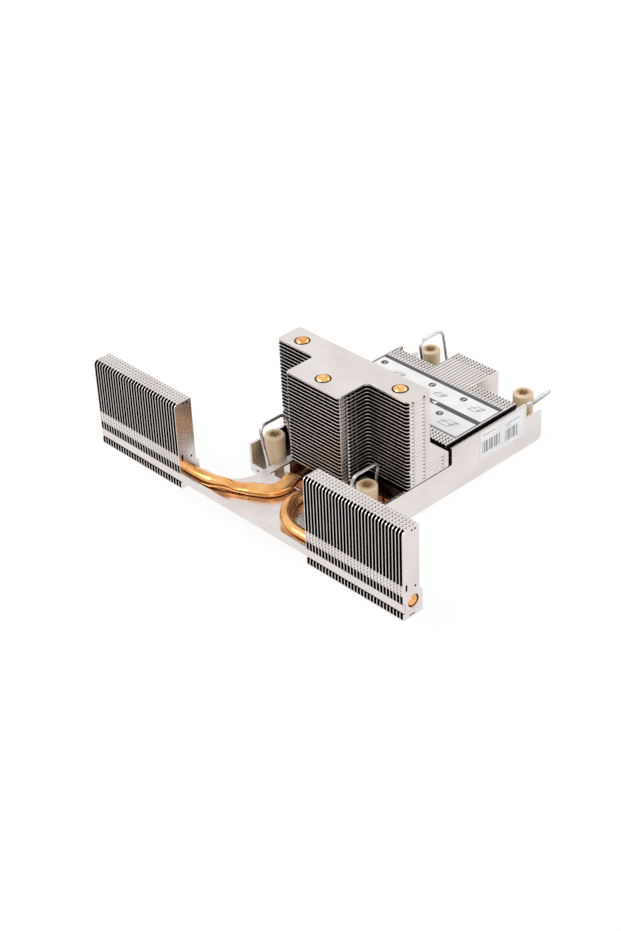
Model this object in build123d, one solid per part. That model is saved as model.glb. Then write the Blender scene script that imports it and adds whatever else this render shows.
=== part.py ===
from build123d import *
import math
import os

os.makedirs("parts", exist_ok=True)

# Frame: X runs along the wings, Y to the rear and Z up, in millimetres.
# The origin lies on the contact face, below the middle of the four nuts.

# Driving lengths in plan
TRAY_WIDTH = 78.0
PLATE_LENGTH = 76.0

# Tray, a cast channel that carries everything
SKIRT_BOTTOM = 0.8
FLOOR_TOP = 5.3
FLOOR_THICKNESS = 2.0
FRONT_MARGIN = 6.55
REAR_MARGIN = 1.05
WALL_THICKNESS = 1.4
WALL_LOW_TOP = 15.4
WALL_HIGH_TOP = 23.6
WALL_STEP_SETBACK = 1.4
WALL_NOTCH_LENGTH = 3.3
WALL_NOTCH_BOTTOM = 16.3
WALL_END_TOP = 15.6
WALL_CORNER = 1.8
LIP_HOLE_RADIUS = 0.9
LIP_HOLE_INSET = 5.0

# Captive nuts
NUT_INSET = 10.2
NUT_RADIUS = 4.7
NUT_TOP = 21.7
NUT_CHAMFER = 0.6
NUT_SHANK_RADIUS = 3.5
NUT_BOTTOM = 1.6
NUT_BORE_RADIUS = 2.0
NUT_BORE_DEPTH = 11.0
NUT_RUNNING_CLEARANCE = 0.06
NUT_AXIAL_PLAY = 0.06
RECESS_RADIUS = 2.7
RECESS_INNER_RADIUS = 1.9
RECESS_DEPTH = 4.0
RING_THICKNESS = 0.8
RING_WIDTH = 1.7
RING_GROOVE_DEPTH = 0.6
RING_DROP = 0.4
EAR_MARGIN = 3.7

# Wire bails beside the nuts
WIRE_RADIUS = 0.75
BAIL_HEIGHT = 21.8
BAIL_NUT_GAP = 2.35
BAIL_TOP_BEND = 3.5
BAIL_FOOT_BEND = 1.3
BAIL_AXIS_INSET = 4.3
BAIL_AXIS_HEIGHT = 2.1
BAIL_PIN_SETBACK = 0.4
BAIL_PIN_CLEARANCE = 0.1
LUG_WIDTH = 3.2
LUG_WALL = 1.1
LUG_GAP = 0.35
LUG_INNER_LENGTH = 2.8
LUG_OUTER_LENGTH = 2.1
LUG_PLATE_GAP = 0.55
BAIL_LEAN = {"front_left": 14.0, "front_right": 10.0, "rear_left": 10.0, "rear_right": 42.0}

# Heat pipes
PIPE_RADIUS = 3.0
PIPE_CLEARANCE = 0.1
FLAT_WIDTH = 7.8
FLAT_HEIGHT = 3.4
BED_MARGIN = 2.7
SIDE_BED_MARGIN = 1.7
TOWER_PIPE_BEND = 6.0
SIDE_PIPE_RUN = 16.2
SIDE_PIPE_TURN_BEND = 8.0
FLATTEN_LENGTH = 3.2
FLATTEN_LEAD = 0.25
DROP_ANGLE = 40.0
DROP_BEND = 4.0
RIGHT_BEND = 19.5
LEFT_BEND_FROM_WING = 12.4
LEFT_BEND = 20.0
LEFT_ROUND_LENGTH = 8.5
LEFT_TURN_X = 0.3
LEFT_TURN_REACH = 16.0
LEFT_TURN_BEND = 8.0
LEFT_RETURN_YAW = 110.0
LEFT_BED_BEND = 6.0
CAP_HEIGHT = 1.1
CAP_SHOULDER_HEIGHT = 0.4
CAP_KNEE_HEIGHT = 0.95
CAP_KNEE_RADIUS = 2.4
CAP_TIP_RADIUS = 1.1
CAP_DIMPLE_RADIUS = 0.55
CAP_DIMPLE_DEPTH = 0.75

# Copper cold plate and the block above it
PLATE_BOTTOM = 3.0
PLATE_TOP = 7.4
PLATE_LEDGE = 6.6
PEDESTAL_STEP = 4.0
NECK_FORK_GAP = 0.3
NECK_LIP_GAP = 1.4
SEAT_CLEARANCE = 0.1
BLOCK_WALL_GAP = 1.6
BLOCK_SETBACK = 2.0
BLOCK_TAIL_WIDTH = 28.0
BLOCK_TAIL_SETBACK = 1.3
BLOCK_TAIL_DROP = 2.6
PIPE_END_SETBACK = 15.0

# Fins in general
FIN_THICKNESS = 0.4
ZIPPER_WINDOW = 0.9
SLEEVE_WALL = 0.4
SLEEVE_FLATS = 8

# Tower of level fins, T-shaped in plan
TOWER_OVERHANG = 0.4
TOWER_BLOCK_OVERHANG = 0.3
TOWER_DEPTH = 13.8
STEM_WIDTH = 32.2
STEM_DEPTH = 16.8
TOWER_LIFT = 2.7
TOWER_PITCH = 1.8
TOWER_FINS = 24
TOWER_CORNER = 1.0
TOWER_WINDOW_INSETS = (2.9, 9.4)
TOP_SHEET = 0.85
TAB_WIDTH = 2.2
TAB_INSET = 3.0
COLLAR_WIDTH = 1.0
COLLAR_DEPTH = 0.5
DEEP_FINS = 5
DEEP_LEDGE = 11.5
DEEP_WINDOW_INSET = 3.5
SIDE_PIPE_INSET = 9.7
SIDE_PIPE_SETBACK = 6.1
STEM_PIPE_SETBACK = 6.8

# Rear stack of upright fins with folded tops
STACK_WALL_GAP = 0.9
STACK_TOWER_GAP = 1.3
STACK_HEIGHT = 11.6
STACK_FINS = 40
STACK_SLIT = 0.35
TAIL_FINS_OVERHANG = 2.0

# Rail bracket, one folded sheet
SHEET = 0.9
FOLD_RADIUS = 0.25
RAIL_FLANGE = 4.66
RAIL_DEPTH = 13.5
RAIL_SLOT_DEPTH = 8.1
FORK_NECK = 16.6
FORK_PIPE_GAP = 2.0
ARM_WIDTH = 3.9
ARM_TOWER_GAP = 2.7
TONGUE_CORNER = 13.0
DROP_FROM_FORK = 3.5

# Wing stacks at the ends of the rail
WING_LENGTH = 55.0
WING_FINS = 31
WING_REACH = 43.1
WING_DEPTH = 9.1
WING_FOOT_DEPTH = 10.8
WING_FOOT_HEIGHT = 10.5
WING_BELOW_RAIL = 3.3
WING_HEIGHT = 42.7
WING_CORNER = 1.8
WING_BAND_BASE = 11.7
WING_BAND_HEIGHT = 5.3
WING_PIPE_DEPTH = 5.6
WING_WINDOW_DEPTH = 5.4
PLUG_RADIUS = 2.0
PLUG_NECK = 1.0
PLUG_LENGTH = 0.3
PLUG_TIP_RADIUS = 0.9
PLUG_TIP_END_RADIUS = 0.45
PLUG_TIP_LENGTH = 0.9

# Fasteners
BRACKET_SCREW_END = 2.5
BRACKET_SCREW_PITCH = 5.0
BRACKET_SCREW_RADIUS = 0.95
BRACKET_SCREW_HEAD = 1.6
BRACKET_SCREW_HEAD_HEIGHT = 0.7
BRACKET_SCREW_DEPTH = 5.0
TRAY_SCREW_SETBACK = 12.0
TRAY_SCREW_RADIUS = 1.2
TRAY_SCREW_HEAD = 2.0
TRAY_SCREW_HEAD_HEIGHT = 0.9
TRAY_SCREW_DEPTH = 6.0
SCREW_CLEARANCE = 0.05

# Labels
LABEL_THICKNESS = 0.12
TOP_LABEL_SIDE_GAP = 0.7
TOP_LABEL_FRONT_GAP = 7.1
TOP_LABEL_LENGTH = 31.2
SIDE_LABEL_LENGTH = 29.4
SIDE_LABEL_HEIGHT = 14.4
SIDE_LABEL_END_GAP = 1.6
SIDE_LABEL_DROP = 0.6

# Helpers for cuts and patterns
CUT = 1.0
CORNERS = {"front_left": (-1, -1), "front_right": (1, -1), "rear_left": (-1, 1), "rear_right": (1, 1)}
SIDES = {"left": -1, "right": 1}

# Places across the part, worked out from the sizes above
WALL_INNER = TRAY_WIDTH / 2 - WALL_THICKNESS
NUT_X = TRAY_WIDTH / 2 - NUT_INSET
BAIL_AXIS_X = NUT_X - BAIL_AXIS_INSET
PLATE_WIDTH = 2 * (WALL_INNER - PLATE_LEDGE)
BLOCK_WIDTH = 2 * (WALL_INNER - BLOCK_WALL_GAP)
STACK_WIDTH = 2 * (WALL_INNER - STACK_WALL_GAP)
TRAY_SCREW_X = (PLATE_WIDTH + BLOCK_WIDTH) / 4
TOWER_WIDTH = TRAY_WIDTH + 2 * TOWER_OVERHANG
SIDE_PIPE_X = TOWER_WIDTH / 2 - SIDE_PIPE_INSET
WING_INNER = TOWER_WIDTH / 2
WING_OUTER = WING_INNER + WING_LENGTH
WING_BED_X = PIPE_RADIUS + 2 * PIPE_CLEARANCE + BED_MARGIN + FLAT_WIDTH / 2
SIDE_BED_X = WING_BED_X + FLAT_WIDTH / 2 + 2 * PIPE_CLEARANCE + SIDE_BED_MARGIN + PIPE_RADIUS
FORK_WIDTH = 2 * (WING_BED_X + FLAT_WIDTH / 2 + FORK_PIPE_GAP)
TONGUE_WIDTH = FORK_WIDTH + 2 * ARM_WIDTH
ARM_X = (FORK_WIDTH + TONGUE_WIDTH) / 4
NECK_WIDTH = FORK_WIDTH - 2 * NECK_FORK_GAP

# Places along the part, from the middle of the nuts
BAIL_HALF_SPAN = NUT_RADIUS + BAIL_NUT_GAP + WIRE_RADIUS
LEG_TO_LUG = WIRE_RADIUS + LUG_GAP
NUT_Y = PLATE_LENGTH / 2 + LUG_PLATE_GAP + LUG_INNER_LENGTH + LEG_TO_LUG + BAIL_HALF_SPAN
TRAY_FRONT = -NUT_Y - FRONT_MARGIN
TRAY_REAR = NUT_Y + REAR_MARGIN
NECK_FRONT = TRAY_FRONT + WALL_THICKNESS + NECK_LIP_GAP
BLOCK_REAR = PLATE_LENGTH / 2 - BLOCK_SETBACK
BLOCK_TAIL_REAR = TRAY_REAR - BLOCK_TAIL_SETBACK
PIPE_END = BLOCK_REAR - PIPE_END_SETBACK
TRAY_SCREW_Y = BLOCK_REAR - TRAY_SCREW_SETBACK
TOWER_FRONT = -BLOCK_REAR - TOWER_BLOCK_OVERHANG
TOWER_REAR = TOWER_FRONT + TOWER_DEPTH
DEEP_REAR = TOWER_REAR + DEEP_LEDGE
STEM_FRONT = TOWER_FRONT - STEM_DEPTH
SIDE_PIPE_Y = TOWER_FRONT + SIDE_PIPE_SETBACK
SIDE_PIPE_TURN_Y = SIDE_PIPE_Y + SIDE_PIPE_RUN
STEM_PIPE_Y = STEM_FRONT + STEM_PIPE_SETBACK
STACK_FRONT = DEEP_REAR + STACK_TOWER_GAP
STACK_REAR = BLOCK_REAR + TOWER_BLOCK_OVERHANG
TAIL_FINS_REAR = BLOCK_TAIL_REAR + TAIL_FINS_OVERHANG
WALL_HIGH_START = STACK_FRONT + WALL_STEP_SETBACK
WALL_HIGH_END = NUT_Y - BAIL_HALF_SPAN - WALL_NOTCH_LENGTH / 2
WALL_NOTCH_END = WALL_HIGH_END + WALL_NOTCH_LENGTH
WING_FRONT = STEM_FRONT - WING_REACH
WING_REAR = WING_FRONT + WING_DEPTH
WING_FOOT_REAR = WING_FRONT + WING_FOOT_DEPTH
WING_PIPE_Y = WING_FRONT + WING_PIPE_DEPTH
RAIL_REAR = WING_FRONT + RAIL_DEPTH
RAIL_SLOT_REAR = WING_FRONT + RAIL_SLOT_DEPTH
FORK_FRONT = RAIL_REAR + FORK_NECK
DROP_START = FORK_FRONT + DROP_FROM_FORK
TONGUE_REAR = TOWER_FRONT - ARM_TOWER_GAP
BRACKET_SCREW_Y = (TONGUE_REAR - BRACKET_SCREW_END - BRACKET_SCREW_PITCH, TONGUE_REAR - BRACKET_SCREW_END)
TOP_LABEL_FRONT = STACK_FRONT + TOP_LABEL_FRONT_GAP
SIDE_LABEL_REAR = WALL_HIGH_END - SIDE_LABEL_END_GAP

# Heights, worked out from the sizes above
FLOOR_BOTTOM = FLOOR_TOP - FLOOR_THICKNESS
BAIL_AXIS_Z = FLOOR_TOP + BAIL_AXIS_HEIGHT
LUG_TOP = BAIL_AXIS_Z + WIRE_RADIUS + LUG_WALL
BLOCK_TOP = PLATE_TOP + 2 * (PIPE_RADIUS + PIPE_CLEARANCE)
BLOCK_TAIL_TOP = BLOCK_TOP - BLOCK_TAIL_DROP
STACK_TOP = BLOCK_TOP + STACK_HEIGHT
BED_HEIGHT = PLATE_TOP + PIPE_CLEARANCE / 2 + PIPE_RADIUS
FLAT_BED_HEIGHT = PLATE_TOP + PIPE_CLEARANCE / 2 + FLAT_HEIGHT / 2
BRACKET_BOTTOM = BLOCK_TOP
BRACKET_TOP = BRACKET_BOTTOM + SHEET
RAIL_FLANGE_TOP = BRACKET_BOTTOM + RAIL_FLANGE
WING_PIPE_Z = BRACKET_TOP + PIPE_CLEARANCE + PIPE_RADIUS
FLAT_TOP_HEIGHT = BRACKET_TOP + PIPE_CLEARANCE + FLAT_HEIGHT / 2
WING_BOTTOM = BRACKET_BOTTOM - WING_BELOW_RAIL
WING_TOP = WING_BOTTOM + WING_HEIGHT
WING_FOOT_TOP = WING_BOTTOM + WING_FOOT_HEIGHT
WING_BAND_BOTTOM = WING_BOTTOM + WING_BAND_BASE
WING_BAND_TOP = WING_BAND_BOTTOM + WING_BAND_HEIGHT
TOWER_BOTTOM = BLOCK_TOP + TOWER_LIFT
TOWER_TOP = TOWER_BOTTOM + TOWER_FINS * TOWER_PITCH


def slab(x0, x1, y0, y1, z0, z1):
    """A box between two values on each axis, in either order."""
    box = Box(abs(x1 - x0), abs(y1 - y0), abs(z1 - z0))
    return Pos((x0 + x1) / 2, (y0 + y1) / 2, (z0 + z1) / 2) * box


def upright_cylinder(x, y, z0, z1, radius):
    """A cylinder along Z between two heights."""
    return Pos(x, y, (z0 + z1) / 2) * Cylinder(radius, z1 - z0)


def side_face(points, x):
    """A flat face across X whose outline is given as (y, z) points."""
    return make_face(Polyline(*[(x, y, z) for y, z in points], close=True))


def side_profile(points, x0, x1):
    """A prism along X whose outline is given as (y, z) points."""
    return extrude(side_face(points, x0), amount=x1 - x0, dir=(1, 0, 0))


def screw(x, y, head_base, head_top, tip, radius, head_radius):
    """A headed screw along Z, with its head above or below its tip."""
    shank = upright_cylinder(x, y, min(head_base, tip), max(head_base, tip), radius)
    head = upright_cylinder(x, y, min(head_base, head_top), max(head_base, head_top), head_radius)
    return shank + head


def side_wall(side):
    """The tray's side wall, with its low front, tall middle, notch and low rear."""
    outline = [
        (TRAY_FRONT, SKIRT_BOTTOM),
        (TRAY_FRONT, WALL_LOW_TOP),
        (WALL_HIGH_START, WALL_LOW_TOP),
        (WALL_HIGH_START, WALL_HIGH_TOP),
        (WALL_HIGH_END, WALL_HIGH_TOP),
        (WALL_HIGH_END, WALL_NOTCH_BOTTOM),
        (WALL_NOTCH_END, WALL_NOTCH_BOTTOM),
        (TRAY_REAR, WALL_END_TOP),
        (TRAY_REAR, SKIRT_BOTTOM + WALL_CORNER),
        (TRAY_REAR - WALL_CORNER, SKIRT_BOTTOM),
    ]
    outer = side * TRAY_WIDTH / 2
    inner = side * WALL_INNER
    return side_profile(outline, min(outer, inner), max(outer, inner))


def lug_spans():
    """Where each bail's two lugs start and end, as distances from the tray's middle."""
    inner_leg = NUT_Y - BAIL_HALF_SPAN - LEG_TO_LUG
    outer_leg = NUT_Y + BAIL_HALF_SPAN - LEG_TO_LUG
    return (inner_leg - LUG_INNER_LENGTH, inner_leg), (outer_leg - LUG_OUTER_LENGTH, outer_leg)


def bail_lugs(sx, sy):
    """Two eyes on the tray floor that hold the feet of one wire bail."""
    middle = sx * BAIL_AXIS_X
    half = LUG_WIDTH / 2
    hole = WIRE_RADIUS + BAIL_PIN_CLEARANCE
    lugs = []
    for near, far in lug_spans():
        eye = slab(middle - half, middle + half, sy * near, sy * far, FLOOR_BOTTOM, LUG_TOP)
        length = far - near + 2 * CUT
        pin_hole = Pos(middle, sy * (near + far) / 2, BAIL_AXIS_Z) * Rot(90, 0, 0) * Cylinder(hole, length)
        lugs.append(eye - pin_hole)
    return lugs


def tray():
    """Cast tray: floor, walls, front lip, bracket ribs, nut ears and bail lugs."""
    half = TRAY_WIDTH / 2
    body = slab(-half, half, TRAY_FRONT, TRAY_REAR, FLOOR_BOTTOM, FLOOR_TOP)
    body += slab(-half, half, TRAY_FRONT, TRAY_FRONT + WALL_THICKNESS, SKIRT_BOTTOM, FLOOR_TOP)
    for side in SIDES.values():
        body += side_wall(side)
        inner = side * FORK_WIDTH / 2
        outer = side * TONGUE_WIDTH / 2
        body += slab(inner, outer, NECK_FRONT, TONGUE_REAR, FLOOR_BOTTOM, BRACKET_BOTTOM)
        body += upright_cylinder(side * NUT_X, NUT_Y, FLOOR_BOTTOM, FLOOR_TOP, NUT_RADIUS + EAR_MARGIN)
    for sx, sy in CORNERS.values():
        for lug in bail_lugs(sx, sy):
            body += lug
    seat = PLATE_WIDTH / 2 + SEAT_CLEARANCE
    reach = PLATE_LENGTH / 2 + SEAT_CLEARANCE
    neck = NECK_WIDTH / 2 + SEAT_CLEARANCE
    low = SKIRT_BOTTOM - CUT
    body -= slab(-seat, seat, -reach, reach, low, FLOOR_TOP + CUT)
    body -= slab(-neck, neck, NECK_FRONT - SEAT_CLEARANCE, 0, FLOOR_BOTTOM - CUT, FLOOR_TOP + CUT)
    hole = NUT_SHANK_RADIUS + NUT_RUNNING_CLEARANCE
    screw_hole = TRAY_SCREW_RADIUS + SCREW_CLEARANCE
    for sx, sy in CORNERS.values():
        body -= upright_cylinder(sx * NUT_X, sy * NUT_Y, low, FLOOR_TOP + CUT, hole)
        body -= upright_cylinder(sx * TRAY_SCREW_X, sy * TRAY_SCREW_Y, low, FLOOR_TOP + CUT, screw_hole)
    for side in SIDES.values():
        for y in BRACKET_SCREW_Y:
            depth = BRACKET_BOTTOM - BRACKET_SCREW_DEPTH - SCREW_CLEARANCE
            tap = BRACKET_SCREW_RADIUS + SCREW_CLEARANCE
            body -= upright_cylinder(side * ARM_X, y, depth, BRACKET_BOTTOM + CUT, tap)
        lip_hole = Pos(side * (half - LIP_HOLE_INSET), TRAY_FRONT, FLOOR_BOTTOM - LIP_HOLE_RADIUS)
        body -= lip_hole * Rot(90, 0, 0) * Cylinder(LIP_HOLE_RADIUS, 2 * (WALL_THICKNESS + CUT))
    return body


def cold_plate():
    """Copper plate with a raised pedestal below and a neck to the front."""
    half = PLATE_WIDTH / 2
    reach = PLATE_LENGTH / 2
    body = slab(-half, half, -reach, reach, PLATE_BOTTOM, PLATE_TOP)
    neck = NECK_WIDTH / 2
    body += slab(-neck, neck, NECK_FRONT, -reach, PLATE_BOTTOM, PLATE_TOP)
    half -= PEDESTAL_STEP
    reach -= PEDESTAL_STEP
    body += slab(-half, half, -reach, reach, 0, PLATE_BOTTOM)
    return body


def groove(points, width):
    """A channel along a flat route, cut right through the block."""
    route = Polyline(*points)
    face = trace(route, width)
    return Pos(0, 0, PLATE_TOP - CUT) * extrude(face, amount=BLOCK_TOP - PLATE_TOP + 2 * CUT)


def base_block():
    """Aluminium block over the cold plate, grooved for the five heat pipes."""
    half = BLOCK_WIDTH / 2
    tail = BLOCK_TAIL_WIDTH / 2
    seat = PLATE_WIDTH / 2 + SEAT_CLEARANCE
    reach = PLATE_LENGTH / 2 + SEAT_CLEARANCE
    body = slab(-half, half, -BLOCK_REAR, BLOCK_REAR, FLOOR_TOP, BLOCK_TOP)
    body += slab(-tail, tail, BLOCK_REAR, BLOCK_TAIL_REAR, FLOOR_TOP, BLOCK_TAIL_TOP)
    body -= slab(-seat, seat, -reach, reach, FLOOR_TOP - CUT, PLATE_TOP)
    front = -BLOCK_REAR - CUT
    end = PIPE_END + SEAT_CLEARANCE
    round_width = 2 * (PIPE_RADIUS + PIPE_CLEARANCE)
    flat_width = FLAT_WIDTH + 2 * PIPE_CLEARANCE
    well = PIPE_RADIUS + CUT
    screw_hole = TRAY_SCREW_RADIUS + SCREW_CLEARANCE
    screw_end = FLOOR_BOTTOM + TRAY_SCREW_DEPTH + SCREW_CLEARANCE
    body -= groove([(0, front), (0, end)], round_width)
    for side in SIDES.values():
        body -= groove([(side * WING_BED_X, front), (side * WING_BED_X, end)], flat_width)
        foot = (side * SIDE_PIPE_X, SIDE_PIPE_Y)
        turn = (side * SIDE_BED_X, SIDE_PIPE_TURN_Y)
        body -= groove([foot, turn, (side * SIDE_BED_X, end)], round_width + CUT)
        body -= upright_cylinder(side * SIDE_PIPE_X, SIDE_PIPE_Y, PLATE_TOP - CUT, BLOCK_TOP + CUT, well)
    for sx, sy in CORNERS.values():
        x = sx * TRAY_SCREW_X
        y = sy * TRAY_SCREW_Y
        body -= upright_cylinder(x, y, FLOOR_TOP - CUT, screw_end, screw_hole)
    return body


def sleeve():
    """Outline of the pressed collars, with flats, that space the fins round a pipe."""
    return RegularPolygon(PIPE_RADIUS + PIPE_CLEARANCE + SLEEVE_WALL, SLEEVE_FLATS, major_radius=False)


def tower_outline(grow):
    """The tower's T-shaped plan, grown on every side by one amount."""
    half = TOWER_WIDTH / 2 + grow
    stem = STEM_WIDTH / 2 + grow
    bar_depth = TOWER_REAR - TOWER_FRONT + 2 * grow
    bar = Pos(0, (TOWER_REAR + TOWER_FRONT) / 2) * Rectangle(2 * half, bar_depth)
    leg_front = STEM_FRONT - grow
    leg = Pos(0, (leg_front + TOWER_REAR) / 2) * Rectangle(2 * stem, TOWER_REAR - leg_front)
    return bar + leg


def eased_tower_outline():
    """The T-shaped plan with its front and inner corners cut off."""
    plan = tower_outline(0)
    corners = plan.vertices().filter_by(lambda v: v.Y < TOWER_REAR - CUT)
    return chamfer(corners, TOWER_CORNER)


def tower_flanges():
    """Plan areas where the fins' folded edges close the tower's sides, with zipper windows."""
    half = TOWER_WIDTH / 2
    stem = STEM_WIDTH / 2
    start = TOWER_FRONT + TOWER_CORNER
    windows = [TOWER_FRONT + inset for inset in TOWER_WINDOW_INSETS] + [DEEP_REAR - DEEP_WINDOW_INSET]
    edges = [start]
    for window in windows:
        edges += [window - ZIPPER_WINDOW / 2, window + ZIPPER_WINDOW / 2]
    edges.append(DEEP_REAR)
    tab_y = STEM_FRONT + TAB_INSET + TAB_WIDTH / 2
    areas = []
    for side in SIDES.values():
        for low, high in zip(edges[::2], edges[1::2]):
            flange = Rectangle(FIN_THICKNESS, high - low)
            areas.append(Pos(side * (half - FIN_THICKNESS / 2), (low + high) / 2) * flange)
        areas.append(Pos(side * (stem - FIN_THICKNESS / 2), tab_y) * Rectangle(FIN_THICKNESS, TAB_WIDTH))
    return areas


def pipe_places():
    """Plan positions of the three pipes that stand in the tower."""
    return [(-SIDE_PIPE_X, SIDE_PIPE_Y), (SIDE_PIPE_X, SIDE_PIPE_Y), (0, STEM_PIPE_Y)]


def tower_fins():
    """Level fins on one pitch, joined by folded flanges; the lowest ones run deeper."""
    plan = eased_tower_outline()
    body = Pos(0, 0, TOWER_BOTTOM) * extrude(plan, amount=(TOWER_FINS - 1) * TOWER_PITCH + FIN_THICKNESS)
    half = TOWER_WIDTH / 2
    deep_top = TOWER_BOTTOM + (DEEP_FINS - 1) * TOWER_PITCH + FIN_THICKNESS
    body += slab(-half, half, TOWER_REAR, DEEP_REAR, TOWER_BOTTOM, deep_top)
    ledge = DEEP_LEDGE + CUT
    shallow = tower_outline(CUT)
    deep = shallow + Pos(0, TOWER_REAR + ledge / 2) * Rectangle(2 * (half + CUT), ledge)
    closed = tower_flanges() + [Pos(x, y) * sleeve() for x, y in pipe_places()]
    for area in closed:
        shallow -= area
        deep -= area
    gap = TOWER_PITCH - FIN_THICKNESS
    cuts = []
    for index in range(TOWER_FINS - 1):
        height = TOWER_BOTTOM + index * TOWER_PITCH + FIN_THICKNESS
        profile = deep if index < DEEP_FINS - 1 else shallow
        cuts.append(Pos(0, 0, height) * extrude(profile, amount=gap))
    for x, y in pipe_places():
        cuts.append(upright_cylinder(x, y, TOWER_BOTTOM - CUT, TOWER_TOP, PIPE_RADIUS + PIPE_CLEARANCE))
    return body - cuts


def tower_top():
    """Smooth cover sheet with a countersunk collar round each pipe end."""
    sheet = Pos(0, 0, TOWER_TOP) * extrude(eased_tower_outline(), amount=TOP_SHEET)
    legs = TOWER_PITCH - FIN_THICKNESS
    half = TOWER_WIDTH / 2
    for side in SIDES.values():
        edge = side * half
        front = TOWER_FRONT + TOWER_CORNER
        sheet += slab(edge - side * FIN_THICKNESS, edge, front, TOWER_REAR, TOWER_TOP - legs, TOWER_TOP)
    for x, y in pipe_places():
        bore = PIPE_RADIUS + PIPE_CLEARANCE
        sheet -= upright_cylinder(x, y, TOWER_TOP - CUT, TOWER_TOP + TOP_SHEET + CUT, bore)
        cone = Cone(bore, bore + COLLAR_WIDTH, COLLAR_DEPTH)
        sheet -= Pos(x, y, TOWER_TOP + TOP_SHEET - COLLAR_DEPTH / 2) * cone
    return sheet


def pipe_cap(x, y, z):
    """The drawn-in and pinched end of a pipe that points up."""
    floor = CAP_HEIGHT - CAP_DIMPLE_DEPTH
    points = [
        (0, 0),
        (PIPE_RADIUS, 0),
        (PIPE_RADIUS, CAP_SHOULDER_HEIGHT),
        (CAP_KNEE_RADIUS, CAP_KNEE_HEIGHT),
        (CAP_TIP_RADIUS, CAP_HEIGHT),
        (CAP_DIMPLE_RADIUS, floor),
        (0, floor),
    ]
    face = make_face(Polyline(*[(r, 0, h) for r, h in points], close=True))
    return Pos(x, y, z) * revolve(face, Axis.Z)


def follow(points, bends, outline):
    """A bar of one outline along straight runs joined by tangent arcs."""
    route = FilletPolyline(*points, radius=bends)
    bar = None
    for edge in route.edges():
        start = edge @ 0
        along = edge % 0
        upright = abs(along.Z) > math.hypot(along.X, along.Y)
        across = Vector(1, 0, 0) if upright else along.cross(Vector(0, 0, 1))
        section = Plane(origin=start, x_dir=across, z_dir=along) * outline
        if edge.geom_type == GeomType.LINE:
            piece = extrude(section, amount=edge.length, dir=along)
        else:
            spin = Axis(edge.arc_center, (start - edge.arc_center).cross(along))
            piece = revolve(section, spin, math.degrees(edge.length / edge.radius))
        bar = piece if bar is None else bar + piece
    return bar


def round_pipe(points, bends):
    """A round pipe along a filleted route."""
    return follow(points, bends, Circle(PIPE_RADIUS))


def tower_pipe(x, y, bed_x):
    """A pipe from the tower's top down to the base, where it turns to the rear."""
    cap_base = TOWER_TOP + TOP_SHEET - COLLAR_DEPTH / 2
    top = (x, y, cap_base)
    foot = (x, y, BED_HEIGHT)
    end = (bed_x, PIPE_END, BED_HEIGHT)
    if bed_x == x:
        tube = round_pipe([top, foot, end], TOWER_PIPE_BEND)
    else:
        turn = (bed_x, SIDE_PIPE_TURN_Y, BED_HEIGHT)
        bends = [TOWER_PIPE_BEND, SIDE_PIPE_TURN_BEND]
        tube = round_pipe([top, foot, turn, end], bends)
    return tube + pipe_cap(x, y, cap_base)


def swaged_end(side):
    """The drawn-in plug and tip that close a wing pipe's outer end."""
    axis = Plane(origin=(side * WING_OUTER, WING_PIPE_Y, WING_PIPE_Z), z_dir=(side, 0, 0))
    neck = Pos(0, 0, -PLUG_NECK / 2) * Cone(PIPE_RADIUS, PLUG_RADIUS, PLUG_NECK)
    plug = Pos(0, 0, PLUG_LENGTH / 2) * Cylinder(PLUG_RADIUS, PLUG_LENGTH)
    tip = Cone(PLUG_TIP_RADIUS, PLUG_TIP_END_RADIUS, PLUG_TIP_LENGTH)
    return axis * (neck + plug + Pos(0, 0, PLUG_LENGTH + PLUG_TIP_LENGTH / 2) * tip)


def wing_pipe(side, corner, bend, round_stop, flat_points, flat_bends):
    """A wing's pipe: round in the wing, then flattened and stepped down to the base."""
    outer = (side * (WING_OUTER - PLUG_NECK), WING_PIPE_Y, WING_PIPE_Z)
    tube = round_pipe([outer, corner, round_stop], bend)
    direction = (Vector(*round_stop) - Vector(*corner)).normalized()
    across = direction.cross(Vector(0, 0, 1))
    round_end = Plane(origin=round_stop, x_dir=across, z_dir=direction) * Circle(PIPE_RADIUS)
    flat = SlotOverall(FLAT_WIDTH, FLAT_HEIGHT)
    flat_start = Plane(origin=flat_points[0], x_dir=across, z_dir=direction) * flat
    return tube + loft([round_end, flat_start]) + follow(flat_points, flat_bends, flat) + swaged_end(side)


def drop_run():
    """Level distance in which a flattened pipe steps down to the base."""
    return (FLAT_TOP_HEIGHT - FLAT_BED_HEIGHT) / math.tan(math.radians(DROP_ANGLE))


def right_wing_pipe():
    """The right pipe: one wide bend, then straight to the rear."""
    x = WING_BED_X
    round_y = WING_PIPE_Y + RIGHT_BEND + FLATTEN_LEAD
    flat_y = round_y + FLATTEN_LENGTH
    flat_points = [
        (x, flat_y, FLAT_TOP_HEIGHT),
        (x, DROP_START, FLAT_TOP_HEIGHT),
        (x, DROP_START + drop_run(), FLAT_BED_HEIGHT),
        (x, PIPE_END, FLAT_BED_HEIGHT),
    ]
    corner = (x, WING_PIPE_Y, WING_PIPE_Z)
    return wing_pipe(1, corner, RIGHT_BEND, (x, round_y, WING_PIPE_Z), flat_points, DROP_BEND)


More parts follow.
